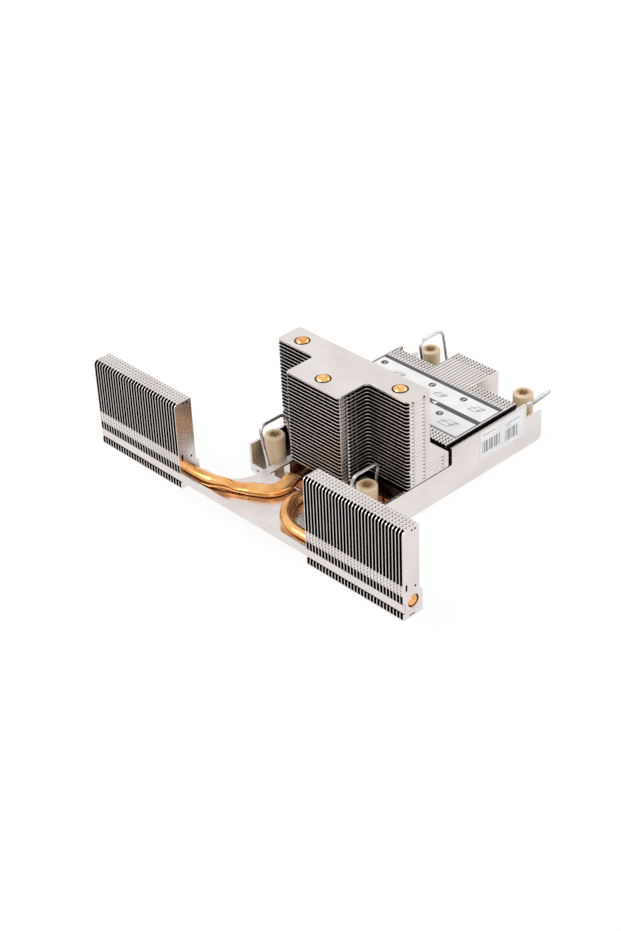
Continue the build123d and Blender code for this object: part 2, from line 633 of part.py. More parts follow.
def left_wing_pipe():
    """The left pipe: a slant across the rail, a tight turn, then back to its bed."""
    corner = Vector(LEFT_BEND_FROM_WING - WING_INNER, WING_PIPE_Y, WING_PIPE_Z)
    turn = Vector(LEFT_TURN_X, WING_PIPE_Y + LEFT_TURN_REACH, WING_PIPE_Z)
    lead = (turn - corner).normalized()
    round_stop = corner + lead * LEFT_ROUND_LENGTH
    flat_start = round_stop + lead * FLATTEN_LENGTH
    yaw = math.radians(LEFT_RETURN_YAW)
    x = -WING_BED_X
    slope = math.cos(yaw) / math.sin(yaw)
    drop_end = DROP_START + drop_run()
    flat_points = [
        (flat_start.X, flat_start.Y, FLAT_TOP_HEIGHT),
        (turn.X, turn.Y, FLAT_TOP_HEIGHT),
        (turn.X + (DROP_START - turn.Y) * slope, DROP_START, FLAT_TOP_HEIGHT),
        (turn.X + (drop_end - turn.Y) * slope, drop_end, FLAT_BED_HEIGHT),
        (x, turn.Y + (x - turn.X) / slope, FLAT_BED_HEIGHT),
        (x, PIPE_END, FLAT_BED_HEIGHT),
    ]
    bends = [LEFT_TURN_BEND, DROP_BEND, DROP_BEND, LEFT_BED_BEND]
    stop = (round_stop.X, round_stop.Y, round_stop.Z)
    return wing_pipe(-1, (corner.X, corner.Y, corner.Z), LEFT_BEND, stop, flat_points, bends)


def rear_stack():
    """Upright fins with folded tops and feet; the middle ones reach further back."""
    half = STACK_WIDTH / 2
    tail = BLOCK_TAIL_WIDTH / 2
    body = slab(-half, half, STACK_FRONT, STACK_REAR, BLOCK_TOP, STACK_TOP)
    pitch = (STACK_WIDTH - FIN_THICKNESS) / (STACK_FINS - 1)
    first = round((half - tail) / pitch)
    last = STACK_FINS - 1 - first
    left = -half + first * pitch
    right = -half + last * pitch + FIN_THICKNESS
    body += slab(left, right, STACK_REAR, TAIL_FINS_REAR, BLOCK_TAIL_TOP, STACK_TOP)
    front = STACK_FRONT - CUT
    roof = STACK_TOP - FIN_THICKNESS
    cuts = []
    for index in range(STACK_FINS - 1):
        start = -half + index * pitch + FIN_THICKNESS
        stop = start + pitch - FIN_THICKNESS
        rear = STACK_REAR
        if first <= index < last:
            rear = TAIL_FINS_REAR
            cuts.append(slab(start, stop, STACK_REAR, rear + CUT, BLOCK_TAIL_TOP + FIN_THICKNESS, roof))
        cuts.append(slab(start, stop, front, STACK_REAR + CUT / 2, BLOCK_TOP + FIN_THICKNESS, roof))
        cuts.append(slab(stop - STACK_SLIT, stop, front, rear + CUT, roof - FIN_THICKNESS, STACK_TOP + CUT))
    return body - cuts


def wing_outline():
    """A wing fin's outline as (y, z) points, with a deeper foot."""
    return [
        (WING_FRONT, WING_BOTTOM),
        (WING_FRONT, WING_TOP),
        (WING_REAR, WING_TOP),
        (WING_REAR, WING_FOOT_TOP),
        (WING_FOOT_REAR, WING_FOOT_TOP),
        (WING_FOOT_REAR, WING_BOTTOM),
    ]


def wing_gap_outline():
    """The space between two wing fins: shut at the foot, on top but for a window, and at the bands."""
    skin = FIN_THICKNESS
    front = WING_FRONT - CUT
    rear = WING_FOOT_REAR + CUT
    wrap = WING_CORNER + skin
    roof = WING_TOP - skin
    window = WING_FRONT + WING_WINDOW_DEPTH
    return [
        (front, WING_BOTTOM + skin),
        (front, WING_BAND_BOTTOM),
        (WING_FRONT + skin, WING_BAND_BOTTOM),
        (WING_FRONT + skin, WING_BAND_TOP),
        (front, WING_BAND_TOP),
        (front, WING_TOP - wrap),
        (WING_FRONT + skin, WING_TOP - wrap),
        (WING_FRONT + wrap, roof),
        (window - ZIPPER_WINDOW / 2, roof),
        (window - ZIPPER_WINDOW / 2, WING_TOP + CUT),
        (window + ZIPPER_WINDOW / 2, WING_TOP + CUT),
        (window + ZIPPER_WINDOW / 2, roof),
        (rear, roof),
        (rear, WING_BAND_TOP),
        (WING_REAR - skin, WING_BAND_TOP),
        (WING_REAR - skin, WING_BAND_BOTTOM),
        (rear, WING_BAND_BOTTOM),
        (rear, WING_BOTTOM + skin),
    ]


def wing_stack(side):
    """One wing: upright fins closed by zipper flanges, slotted onto the rail."""
    start = WING_INNER if side > 0 else -WING_OUTER
    stop = start + WING_LENGTH
    body = side_profile(wing_outline(), start, stop)
    corner = body.edges().filter_by(Axis.X).group_by(Axis.Z)[-1].sort_by(Axis.Y)[0]
    body = fillet(corner, WING_CORNER)
    pitch = (WING_LENGTH - FIN_THICKNESS) / (WING_FINS - 1)
    cuts = []
    for index in range(WING_FINS - 1):
        left = start + index * pitch + FIN_THICKNESS
        collar = Plane(origin=(left, WING_PIPE_Y, WING_PIPE_Z), x_dir=(0, 1, 0), z_dir=(1, 0, 0)) * sleeve()
        gap = side_face(wing_gap_outline(), left) - collar
        cuts.append(extrude(gap, amount=pitch - FIN_THICKNESS, dir=(1, 0, 0)))
    low = BRACKET_BOTTOM - SEAT_CLEARANCE
    high = BRACKET_TOP + SEAT_CLEARANCE
    front = WING_FRONT - CUT
    slot_rear = RAIL_SLOT_REAR + SEAT_CLEARANCE
    slot_top = RAIL_FLANGE_TOP + SEAT_CLEARANCE
    cuts.append(slab(start - CUT, stop + CUT, front, slot_rear, low, high))
    cuts.append(slab(start - CUT, stop + CUT, front, WING_FRONT + SHEET, low, slot_top))
    hole = Cylinder(PIPE_RADIUS + PIPE_CLEARANCE, WING_LENGTH + 2 * CUT)
    cuts.append(Pos((start + stop) / 2, WING_PIPE_Y, WING_PIPE_Z) * Rot(0, 90, 0) * hole)
    return body - cuts


def plate_from(front, rear, width):
    """A flat rectangle across the middle, between two places along Y."""
    return Pos(0, (front + rear) / 2) * Rectangle(width, rear - front)


def rail_bracket():
    """Folded sheet: a long rail with a front flange and a forked tongue to the tray."""
    front = WING_FRONT - SEAT_CLEARANCE
    inner = WING_INNER - SEAT_CLEARANCE
    plan = plate_from(front, RAIL_SLOT_REAR, 2 * WING_OUTER)
    plan += plate_from(front, RAIL_REAR, 2 * inner)
    plan += plate_from(front, TONGUE_REAR, TONGUE_WIDTH)
    middle = plan.vertices().filter_by(lambda v: abs(v.X) < inner - CUT)
    bends = middle.filter_by(lambda v: front + CUT < v.Y < TONGUE_REAR - CUT)
    plan = fillet(bends, TONGUE_CORNER)
    plan -= plate_from(FORK_FRONT, TONGUE_REAR + CUT, FORK_WIDTH)
    body = Pos(0, 0, BRACKET_BOTTOM) * extrude(plan, amount=SHEET)
    body += slab(-WING_OUTER, WING_OUTER, front, front + SHEET, BRACKET_BOTTOM, RAIL_FLANGE_TOP)
    inner_fold = body.edges().filter_by(Axis.X).group_by(Axis.Z)[1].sort_by(Axis.Y)[0]
    body = fillet(inner_fold, FOLD_RADIUS)
    outer_fold = body.edges().filter_by(Axis.X).group_by(Axis.Z)[0].sort_by(Axis.Y)[0]
    body = fillet(outer_fold, SHEET + FOLD_RADIUS)
    hole = BRACKET_SCREW_RADIUS + SCREW_CLEARANCE
    for side in SIDES.values():
        for y in BRACKET_SCREW_Y:
            body -= upright_cylinder(side * ARM_X, y, BRACKET_BOTTOM - CUT, BRACKET_TOP + CUT, hole)
    return body


def star_recess():
    """The nut's six-pointed drive recess."""
    points = []
    for step in range(12):
        radius = RECESS_RADIUS if step % 2 else RECESS_INNER_RADIUS
        angle = math.radians(30 * step)
        points.append((radius * math.cos(angle), radius * math.sin(angle)))
    return extrude(make_face(Polyline(*points, close=True)), amount=RECESS_DEPTH)


def ring_top():
    """Height of the upper face of a nut's retaining ring."""
    return FLOOR_BOTTOM - RING_DROP


def captive_nut(sx, sy):
    """A tall moulded nut with a shank through the tray and a blind thread bore."""
    shoulder = FLOOR_TOP + NUT_AXIAL_PLAY
    head = upright_cylinder(0, 0, shoulder, NUT_TOP, NUT_RADIUS)
    rim = head.edges().filter_by(GeomType.CIRCLE).sort_by(Axis.Z)[-1]
    head = chamfer(rim, NUT_CHAMFER)
    body = head + upright_cylinder(0, 0, NUT_BOTTOM, shoulder, NUT_SHANK_RADIUS)
    body -= Pos(0, 0, NUT_TOP - RECESS_DEPTH) * star_recess()
    body -= upright_cylinder(0, 0, NUT_BOTTOM - CUT, NUT_BOTTOM + NUT_BORE_DEPTH, NUT_BORE_RADIUS)
    top = ring_top()
    groove_ring = upright_cylinder(0, 0, top - RING_THICKNESS, top, NUT_SHANK_RADIUS + CUT)
    groove_ring -= upright_cylinder(0, 0, top - RING_THICKNESS, top, NUT_SHANK_RADIUS - RING_GROOVE_DEPTH)
    return Pos(sx * NUT_X, sy * NUT_Y, 0) * (body - groove_ring)


def retaining_ring(sx, sy):
    """A split steel ring in the nut's groove, below the tray floor."""
    top = ring_top()
    bottom = top - RING_THICKNESS
    inner = NUT_SHANK_RADIUS - RING_GROOVE_DEPTH + SCREW_CLEARANCE
    outer = inner + RING_WIDTH
    ring = upright_cylinder(0, 0, bottom, top, outer)
    ring -= upright_cylinder(0, 0, bottom - CUT, top + CUT, inner)
    ring -= slab(0, sx * (outer + CUT), -inner / 2, inner / 2, bottom - CUT, top + CUT)
    return Pos(sx * NUT_X, sy * NUT_Y, 0) * ring


def wire_bail(sx, sy, lean):
    """A bent wire that straddles one nut and swings in the two lugs beside it."""
    inner = -BAIL_HALF_SPAN
    outer = BAIL_HALF_SPAN
    inner_pin = LEG_TO_LUG + LUG_INNER_LENGTH - BAIL_PIN_SETBACK
    outer_pin = LEG_TO_LUG + LUG_OUTER_LENGTH - BAIL_PIN_SETBACK
    points = [
        (0, sy * (inner - inner_pin), 0),
        (0, sy * inner, 0),
        (0, sy * inner, BAIL_HEIGHT),
        (0, sy * outer, BAIL_HEIGHT),
        (0, sy * outer, 0),
        (0, sy * (outer - outer_pin), 0),
    ]
    bends = [BAIL_FOOT_BEND, BAIL_TOP_BEND, BAIL_TOP_BEND, BAIL_FOOT_BEND]
    wire = follow(points, bends, Circle(WIRE_RADIUS))
    return Pos(sx * BAIL_AXIS_X, sy * NUT_Y, BAIL_AXIS_Z) * Rot(0, sx * lean, 0) * wire


def bracket_screws():
    """Four pan-head screws that hold the fork's arms on the tray's ribs."""
    head_top = BRACKET_TOP + BRACKET_SCREW_HEAD_HEIGHT
    tip = BRACKET_TOP - BRACKET_SCREW_DEPTH
    screws = []
    for x in (-ARM_X, ARM_X):
        for y in BRACKET_SCREW_Y:
            screws.append(screw(x, y, BRACKET_TOP, head_top, tip, BRACKET_SCREW_RADIUS, BRACKET_SCREW_HEAD))
    return screws


def tray_screws():
    """Four screws from below that hold the block on the tray."""
    head_top = FLOOR_BOTTOM - TRAY_SCREW_HEAD_HEIGHT
    tip = FLOOR_BOTTOM + TRAY_SCREW_DEPTH
    screws = []
    for sx, sy in CORNERS.values():
        x = sx * TRAY_SCREW_X
        y = sy * TRAY_SCREW_Y
        screws.append(screw(x, y, FLOOR_BOTTOM, head_top, tip, TRAY_SCREW_RADIUS, TRAY_SCREW_HEAD))
    return screws


def top_label():
    """The large sticker on the rear stack."""
    half = STACK_WIDTH / 2 - TOP_LABEL_SIDE_GAP
    rear = TOP_LABEL_FRONT + TOP_LABEL_LENGTH
    return slab(-half, half, TOP_LABEL_FRONT, rear, STACK_TOP, STACK_TOP + LABEL_THICKNESS)


def side_label():
    """The small sticker on the right wall's tall part."""
    outer = TRAY_WIDTH / 2
    top = WALL_HIGH_TOP - SIDE_LABEL_DROP
    front = SIDE_LABEL_REAR - SIDE_LABEL_LENGTH
    return slab(outer, outer + LABEL_THICKNESS, front, SIDE_LABEL_REAR, top - SIDE_LABEL_HEIGHT, top)


def save(name, shape):
    """Write one named piece, or a group of like pieces, as a STEP file."""
    if isinstance(shape, list):
        shape = Compound(children=shape)
    export_step(shape, f"parts/{name}.step")


save("tray", tray())
save("cold_plate", cold_plate())
save("base_block", base_block())
save("tray_screws", tray_screws())
save("tower_fins", tower_fins())
save("tower_top", tower_top())
save("tower_pipe_left", tower_pipe(-SIDE_PIPE_X, SIDE_PIPE_Y, -SIDE_BED_X))
save("tower_pipe_right", tower_pipe(SIDE_PIPE_X, SIDE_PIPE_Y, SIDE_BED_X))
save("tower_pipe_front", tower_pipe(0, STEM_PIPE_Y, 0))
save("rear_stack", rear_stack())
for name, side in SIDES.items():
    save(f"wing_stack_{name}", wing_stack(side))
save("wing_pipe_left", left_wing_pipe())
save("wing_pipe_right", right_wing_pipe())
save("rail_bracket", rail_bracket())
save("bracket_screws", bracket_screws())
for name, (sx, sy) in CORNERS.items():
    save(f"nut_{name}", captive_nut(sx, sy))
    save(f"ring_{name}", retaining_ring(sx, sy))
    save(f"bail_{name}", wire_bail(sx, sy, BAIL_LEAN[name]))
save("top_label", top_label())
save("side_label", side_label())
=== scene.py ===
"""A passive server CPU heatsink: nickel-plated fin stacks, copper heat pipes and captive nuts.

Sizes are in millimetres, except for the studio's and the camera's far end, which are in metres.
"""

from __future__ import annotations

import logging
import math
from abc import ABC, abstractmethod
from collections.abc import Sequence
from dataclasses import dataclass
from enum import Enum

import bmesh
import bpy
from mathutils import Matrix, Vector
from mathutils.geometry import delaunay_2d_cdt


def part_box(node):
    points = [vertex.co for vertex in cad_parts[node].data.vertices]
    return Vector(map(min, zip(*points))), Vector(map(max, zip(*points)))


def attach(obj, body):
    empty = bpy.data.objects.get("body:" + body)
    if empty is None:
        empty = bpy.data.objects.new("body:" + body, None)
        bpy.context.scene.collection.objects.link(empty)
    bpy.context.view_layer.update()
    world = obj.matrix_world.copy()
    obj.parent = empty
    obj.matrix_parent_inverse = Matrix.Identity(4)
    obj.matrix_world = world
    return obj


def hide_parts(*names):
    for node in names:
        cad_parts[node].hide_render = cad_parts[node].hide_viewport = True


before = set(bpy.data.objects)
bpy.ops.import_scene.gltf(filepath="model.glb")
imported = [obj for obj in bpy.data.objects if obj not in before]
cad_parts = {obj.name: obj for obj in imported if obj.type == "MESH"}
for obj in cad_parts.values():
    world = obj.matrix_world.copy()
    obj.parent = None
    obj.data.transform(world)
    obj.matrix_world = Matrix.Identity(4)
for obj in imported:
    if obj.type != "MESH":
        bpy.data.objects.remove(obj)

LOG = logging.getLogger("heatsink")
MM = 0.001
# A place in an outline, and the two ends of a range.
Point = tuple[float, float]
Span = tuple[float, float]
Place = tuple[float, float, float]
# Two corners, or four channels of a colour.
Box = tuple[float, float, float, float]
Loop = list[Point]
Tree = bpy.types.NodeTree
Socket = bpy.types.NodeSocket
# Where painted shade lies, as 0 or 1, and its sRGB hex colour.
PaintedShade = tuple[Socket, str] | None
# The wave texture multiplies its scale by this before it draws the bands.
WAVE_FACTOR = 20
# Points of an outline that lie closer than this are one point.
MERGE = 1e-6


def linear(code: str) -> Box:
    """Turns an sRGB hex colour into linear red, green and blue, and full alpha."""
    channels = [int(code[start:start + 2], 16) / 255 for start in (1, 3, 5)]
    curve = [c / 12.92 if c <= 0.04045 else ((c + 0.055) / 1.055) ** 2.4 for c in channels]
    return (*curve, 1.0)


def per_metre(millimetres: float) -> float:
    """Gives the texture scale at which one feature is this many millimetres wide."""
    return 1 / (millimetres * MM)


def add_node(tree: Tree, kind: str, feeds: dict | None = None, **settings: object) -> bpy.types.Node:
    """Adds one shader node with its settings, values and links.

    Args:
        tree: Node tree to add to.
        kind: Blender's node type.
        feeds: Socket name or index to a value, or to the output socket that feeds it.
        **settings: Node properties to set.

    Returns:
        The new node.
    """
    node = tree.nodes.new(kind)
    for name, value in settings.items():
        setattr(node, name, value)
    for socket, source in (feeds or {}).items():
        if isinstance(source, Socket):
            tree.links.new(source, node.inputs[socket])
        else:
            node.inputs[socket].default_value = source
    return node


class Coat:
    """The nodes of one material while its finish is mixed."""

    def __init__(self, tree: Tree) -> None:
        """Takes the tree and finds its Principled shader."""
        self.tree = tree
        self.shader = tree.nodes["Principled BSDF"]

    def even(self, name: str, value: float) -> None:
        """Sets what is the same all over on the shader's own socket."""
        self.shader.inputs[name].default_value = value

    def link(self, name: str, source: Socket) -> None:
        """Feeds a pattern to one of the shader's sockets."""
        self.tree.links.new(source, self.shader.inputs[name])

    def place(self, stretch: Sequence[float] = (1, 1, 1)) -> Socket:
        """Gives object coordinates in metres, stretched per axis."""
        place = add_node(self.tree, "ShaderNodeTexCoord").outputs["Object"]
        feeds = {"Vector": place, "Scale": stretch}
        return add_node(self.tree, "ShaderNodeMapping", feeds).outputs["Vector"]

    def grain(self, size: float, detail: float = 3.0, stretch: Sequence[float] = (1, 1, 1)) -> Socket:
        """Gives an uneven pattern of a real grain size.

        Args:
            size: Feature size in millimetres.
            detail: Octaves of finer noise.
            stretch: Factors along X, Y and Z, below 1 for streaks along that axis.

        Returns:
            The factor, mostly between 0.3 and 0.7.
        """
        feeds = {"Vector": self.place(stretch), "Scale": per_metre(size), "Detail": detail}
        return add_node(self.tree, "ShaderNodeTexNoise", feeds).outputs["Fac"]

    def colour(
        self,
        pattern: Socket,
        dark: str,
        bright: str,
        stops: Span = (0.3, 0.7),
        painted_shade: PaintedShade = None,
    ) -> None:
        """Colours the surface by a pattern, and lays painted shade over it where there is one.

        Args:
            pattern: Factor from 0 to 1.
            dark: sRGB hex colour up to the first stop.
            bright: The colour from the second stop.
            stops: Where the pattern starts to brighten and where it is bright.
            painted_shade: Where the painted shade lies, and its colour.
        """
        ramp = add_node(self.tree, "ShaderNodeValToRGB", {"Fac": pattern})
        for element, position, code in zip(ramp.color_ramp.elements, stops, (dark, bright)):
            element.position = position
            element.color = linear(code)
        colour = ramp.outputs["Color"]
        if painted_shade:
            feeds = {0: painted_shade[0], 6: colour, 7: linear(painted_shade[1])}
            colour = add_node(self.tree, "ShaderNodeMix", feeds, data_type="RGBA").outputs[2]
        self.link("Base Color", colour)

    def metal(self, pattern: Socket, roughness: Span) -> None:
        """Makes the surface bare metal whose roughness follows a pattern.

        Args:
            pattern: Factor, mostly between 0.3 and 0.7.
            roughness: Roughness at the low and the high end.
        """
        low, high = roughness
        feeds = {"Value": pattern, "From Min": 0.3, "From Max": 0.7, "To Min": low, "To Max": high}
        self.even("Metallic", 1.0)
        self.link("Roughness", add_node(self.tree, "ShaderNodeMapRange", feeds).outputs["Result"])

    def emboss(self, height: Socket, depth: float, strength: float) -> None:
        """Gives the surface a bump from a height pattern.

        Args:
            height: Height pattern from 0 to 1.
            depth: Depth of the pattern in millimetres.
            strength: Share of the bump that shows.
        """
        feeds = {"Height": height, "Distance": depth * MM, "Strength": strength}
        self.link("Normal", add_node(self.tree, "ShaderNodeBump", feeds).outputs["Normal"])


class Finish(ABC):
    """A surface finish that becomes one procedural material."""

    name: str

    def material(self) -> bpy.types.Material:
        """Makes the material on first use and returns it."""
        material = bpy.data.materials.get(self.name)
        if material is None:
            material = bpy.data.materials.new(self.name)
            material.use_nodes = True
            self.dress(Coat(material.node_tree))
        return material

    @abstractmethod
    def dress(self, coat: Coat) -> None:
        """Sets the shader's values and patterns."""


@dataclass(frozen=True)
class NickelPlate(Finish):
    """Nickel-plated aluminium sheet, blanked and folded: pale warm grey, satin, faintly clouded."""

    name: str = "nickel_plated_sheet"
    bright: str = "#E9E3E0"
    clouded: str = "#DDD5D1"
    cloud_size: float = 16.0
    grain_size: float = 0.6
    roughness: Span = (0.22, 0.3)

    def dress(self, coat: Coat) -> None:
        """Clouds from the plating bath, and the fine tooth of rolled sheet under it."""
        coat.colour(coat.grain(self.cloud_size, 2.0), self.clouded, self.bright)
        tooth = coat.grain(self.grain_size, 2.0)
        coat.metal(tooth, self.roughness)
        coat.emboss(tooth, depth=0.004, strength=0.2)


@dataclass(frozen=True)
class MottledMetal(Finish):
    """Plain metal whose colour and shine vary by one pattern."""

    name: str
    bright: str
    dark: str
    patch_size: float
    detail: float = 3.0
    roughness: Span = (0.3, 0.45)

    def dress(self, coat: Coat) -> None:
        """Makes the brighter patches the rougher ones."""
        patches = coat.grain(self.patch_size, self.detail)
        coat.colour(patches, self.dark, self.bright)
        coat.metal(patches, self.roughness)


@dataclass(frozen=True)
class ShadedFinFace(MottledMetal):
    """Broad faces of the thin fins: the same plating, dull, with painted shade that makes it dark in
    the gaps.
    """

    name: str = "fin_face_painted_shade"
    # Both colours are painted shade: the plating darkened to stand in for the shade between the fins.
    bright: str = "#322B29"
    dark: str = "#1D1817"
    patch_size: float = 6.0


@dataclass(frozen=True)
class SpringWire(MottledMetal):
    """Drawn stainless spring wire: cool grey, with streaks from the die and a dull shine."""

    name: str = "spring_wire"
    bright: str = "#D9D9D8"
    dark: str = "#B4B5B7"
    patch_size: float = 2.5
    detail: float = 2.0
    roughness: Span = (0.2, 0.38)


@dataclass(frozen=True)
class ZincSteel(MottledMetal):
    """Zinc-plated steel of screws and retaining rings: blue-grey, mottled like all thin zinc."""

    name: str = "zinc_plated_steel"
    bright: str = "#B7BBC0"
    dark: str = "#8E9298"
    patch_size: float = 1.0


@dataclass(frozen=True)
class DrawnCopper(Finish):
    """Drawn copper tube, bent and pressed: orange and bright, with heat tint in patches."""

    name: str = "drawn_copper_tube"
    bright: str = "#F7BF7E"
    tinted: str = "#DC9352"
    tint_size: float = 9.0
    streak_size: float = 0.5
    roughness: Span = (0.14, 0.26)

    def dress(self, coat: Coat) -> None:
        """Tint left by soldering, and fine die lines that blur the shine."""
        tint = coat.grain(self.tint_size)
        coat.colour(tint, self.tinted, self.bright, (0.28, 0.62), self.painted_fin_shade(coat))
        lines = coat.grain(self.streak_size, 2.0)
        coat.metal(lines, self.roughness)
        coat.emboss(lines, depth=0.004, strength=0.2)

    def painted_fin_shade(self, coat: Coat) -> PaintedShade:
        """Paints no shade on the tube."""
        return None


@dataclass(frozen=True)
class SolderedCopperShaded(DrawnCopper):
    """The same tube soldered into the fins, with painted shade that makes it dark below their cover."""

    name: str = "copper_tube_in_fins_painted_shade"
    # Painted shade: the tube's colour below the cover, where the fins shade it.
    fin_shade_colour: str = "#2A211C"
    fin_shade_top: float = 57.5

    def painted_fin_shade(self, coat: Coat) -> PaintedShade:
        """Paints shade up to a level above the contact face."""
        height = add_node(coat.tree, "ShaderNodeSeparateXYZ", {0: coat.place()}).outputs["Z"]
        feeds = {0: height, 1: self.fin_shade_top * MM}
        share = add_node(coat.tree, "ShaderNodeMath", feeds, operation="LESS_THAN").outputs[0]
        return share, self.fin_shade_colour


@dataclass(frozen=True)
class MilledCopper(Finish):
    """Milled copper plate: duller than the tubes, with cutter lines across it."""

    name: str = "milled_copper"
    bright: str = "#D98C5B"
    dark: str = "#A65E36"
    line_pitch: float = 0.6
    patch_size: float = 8.0
    roughness: float = 0.34

    def dress(self, coat: Coat) -> None:
        """Straight cutter passes, wide enough to show at arm's length."""
        scale = per_metre(self.line_pitch) / WAVE_FACTOR
        feeds = {"Vector": coat.place(), "Scale": scale, "Distortion": 0.6, "Detail": 2.0}
        lines = add_node(coat.tree, "ShaderNodeTexWave", feeds, bands_direction="X").outputs["Fac"]
        coat.colour(coat.grain(self.patch_size), self.dark, self.bright)
        coat.even("Metallic", 1.0)
        coat.even("Roughness", self.roughness)
        coat.emboss(lines, depth=0.02, strength=0.3)


@dataclass(frozen=True)
class MouldedPeek(Finish):
    """Injection-moulded PEEK, a tan engineering plastic with a soft sheen."""

    name: str = "moulded_peek"
    light: str = "#F0DABC"
    dark: str = "#DDC197"
    # Painted shade laid in the recess of each nut.
    recess_shade: str = "#C4A47E"
    recess_radius: float = 3.3
    nut_place: Place = (28.8, 50.25, 0.0)
    swirl_size: float = 5.0
    texture_size: float = 0.3
    roughness: float = 0.42
    refraction: float = 1.65

    def dress(self, coat: Coat) -> None:
        """Flow marks of the melt, the texture of the mould, and painted shade in the recess."""
        swirl = coat.grain(self.swirl_size, 2.0, (1, 1, 0.4))
        coat.colour(swirl, self.dark, self.light, painted_shade=self.painted_recess_shade(coat.tree))
        coat.even("Roughness", self.roughness)
        coat.even("IOR", self.refraction)
        coat.emboss(coat.grain(self.texture_size, 1.0), depth=0.02, strength=0.35)

    def painted_recess_shade(self, tree: Tree) -> PaintedShade:
        """Paints shade into the recess of each of the four nuts, which mirror one place."""
        kind = "ShaderNodeVectorMath"
        place = add_node(tree, "ShaderNodeTexCoord").outputs["Object"]
        centre = [value * MM for value in self.nut_place]
        mirrored = add_node(tree, kind, {0: place}, operation="ABSOLUTE").outputs[0]
        offset = add_node(tree, kind, {0: mirrored, 1: centre}, operation="SUBTRACT").outputs[0]
        level = add_node(tree, kind, {0: offset, 1: (1, 1, 0)}, operation="MULTIPLY").outputs[0]
        away = add_node(tree, kind, {0: level}, operation="LENGTH").outputs["Value"]
        feeds = {0: away, 1: self.recess_radius * MM}
        share = add_node(tree, "ShaderNodeMath", feeds, operation="LESS_THAN").outputs[0]
        return share, self.recess_shade


@dataclass(frozen=True)
class Vinyl(Finish):
    """Coated vinyl sticker stock, or the ink printed on it."""

    name: str = "sticker_vinyl"
    colour: str = "#F5F5F6"
    worn: str = "#ECECEF"
    roughness: float = 0.35
    patch_size: float = 7.0
    ripple_size: float = 1.5

    def dress(self, coat: Coat) -> None:
        """A coat that is glossier than paper, slightly uneven from the roll."""
        coat.colour(coat.grain(self.patch_size, 2.0), self.worn, self.colour, (0.35, 0.65))
        coat.even("Roughness", self.roughness)
        coat.emboss(coat.grain(self.ripple_size), depth=0.01, strength=0.2)


NICKEL = NickelPlate()
SHEARED = NickelPlate("sheared_nickel_edge", roughness=(0.5, 0.62))
# Painted shade for faces deep between the fins, and for the base block under the tower.
FIN_FACE_SHADE = ShadedFinFace()
COPPER = DrawnCopper()
SOLDERED_COPPER_SHADED = SolderedCopperShaded()
COPPER_PLATE = MilledCopper()
PEEK = MouldedPeek()
WIRE = SpringWire()
ZINC = ZincSteel()
VINYL = Vinyl()
INK = Vinyl("printed_dark_ink", "#46474D", "#505157", 0.45)
FAINT_INK = Vinyl("printed_faint_ink", "#7C7D85", "#888991", 0.45)

# Where the press starts on each wing pipe, in plan.
PRESS_PLACES: dict[str, Point] = {"left": (-18.3, -85.5), "right": (9.8, -69.2)}


class Along(Enum):
    """The axis that a sheet's thickness runs along."""

    X = 0
    Y = 1
    Z = 2

    def place(self, point: Point, depth: float) -> Vector:
        """Adds this axis's value to an outline's point and gives it in metres."""
        values = list(point)
        values.insert(self.value, depth)
        return Vector(values) * MM


def circle(centre: Point, radius: float, steps: int = 28) -> Loop:
    """Gives a closed circle of a number of points."""
    turn = 2 * math.pi / steps
    x, y = centre
    return [(x + radius * math.cos(turn * i), y + radius * math.sin(turn * i)) for i in range(steps)]


def box_loop(x0: float, y0: float, x1: float, y1: float) -> Loop:
    """Gives a rectangle's loop."""
    return [(x0, y0), (x1, y0), (x1, y1), (x0, y1)]


def rounded(corners: Sequence[Point], radii: Sequence[float], steps: int = 5) -> Loop:
    """Rounds the corners of an outline.

    Args:
        corners: The outline's corners in order.
        radii: One radius per corner, 0 where it stays sharp.
        steps: Points of each round corner, less one.

    Returns:
        The loop of points.
    """
    loop: Loop = []
    count = len(corners)
    for index, radius in enumerate(radii):
        here = Vector(corners[index])
        if radius <= 0:
            loop.append((here.x, here.y))
            continue
        back = (Vector(corners[index - 1]) - here).normalized()
        ahead = (Vector(corners[(index + 1) % count]) - here).normalized()
        half = back.angle(ahead) / 2
        centre = here + (back + ahead).normalized() * (radius / math.sin(half))
        start = here + back * (radius / math.tan(half)) - centre
        stop = here + ahead * (radius / math.tan(half)) - centre
        sweep = start.angle_signed(stop)
        for step in range(steps + 1):
            turned = Matrix.Rotation(-sweep * step / steps, 2) @ start
            loop.append((centre.x + turned.x, centre.y + turned.y))
    return loop


def encloses(loop: Loop, point: Vector) -> bool:
    """Tells whether a loop goes round a point."""
    within = False
    for (x0, y0), (x1, y1) in zip(loop, loop[1:] + loop[:1]):
        crosses = (y0 > point.y) != (y1 > point.y)
        if crosses and point.x < x0 + (point.y - y0) * (x1 - x0) / (y1 - y0):
            within = not within
    return within


def fill(loops: Sequence[Loop]) -> list[tuple[int, ...]]:
    """Fills an outline with triangles and leaves its holes open.

    Args:
        loops: The outline first, then its holes.

    Returns:
        The triangles, as places in the row of all the loops' points.
    """
    edges: list[tuple[int, int]] = []
    for loop in loops:
        start = len(edges)
        size = len(loop)
        edges += [(start + i, start + (i + 1) % size) for i in range(size)]
    flat = [Vector(point) for loop in loops for point in loop]
    points, _, faces, sources, _, _ = delaunay_2d_cdt(flat, edges, [], 1, MERGE)
    kept = []
    for face in faces:
        middle = sum((points[corner] for corner in face), Vector((0.0, 0.0))) / len(face)
        if sum(encloses(loop, middle) for loop in loops) == 1:
            kept.append(tuple(sources[corner][0] for corner in face))
    return kept


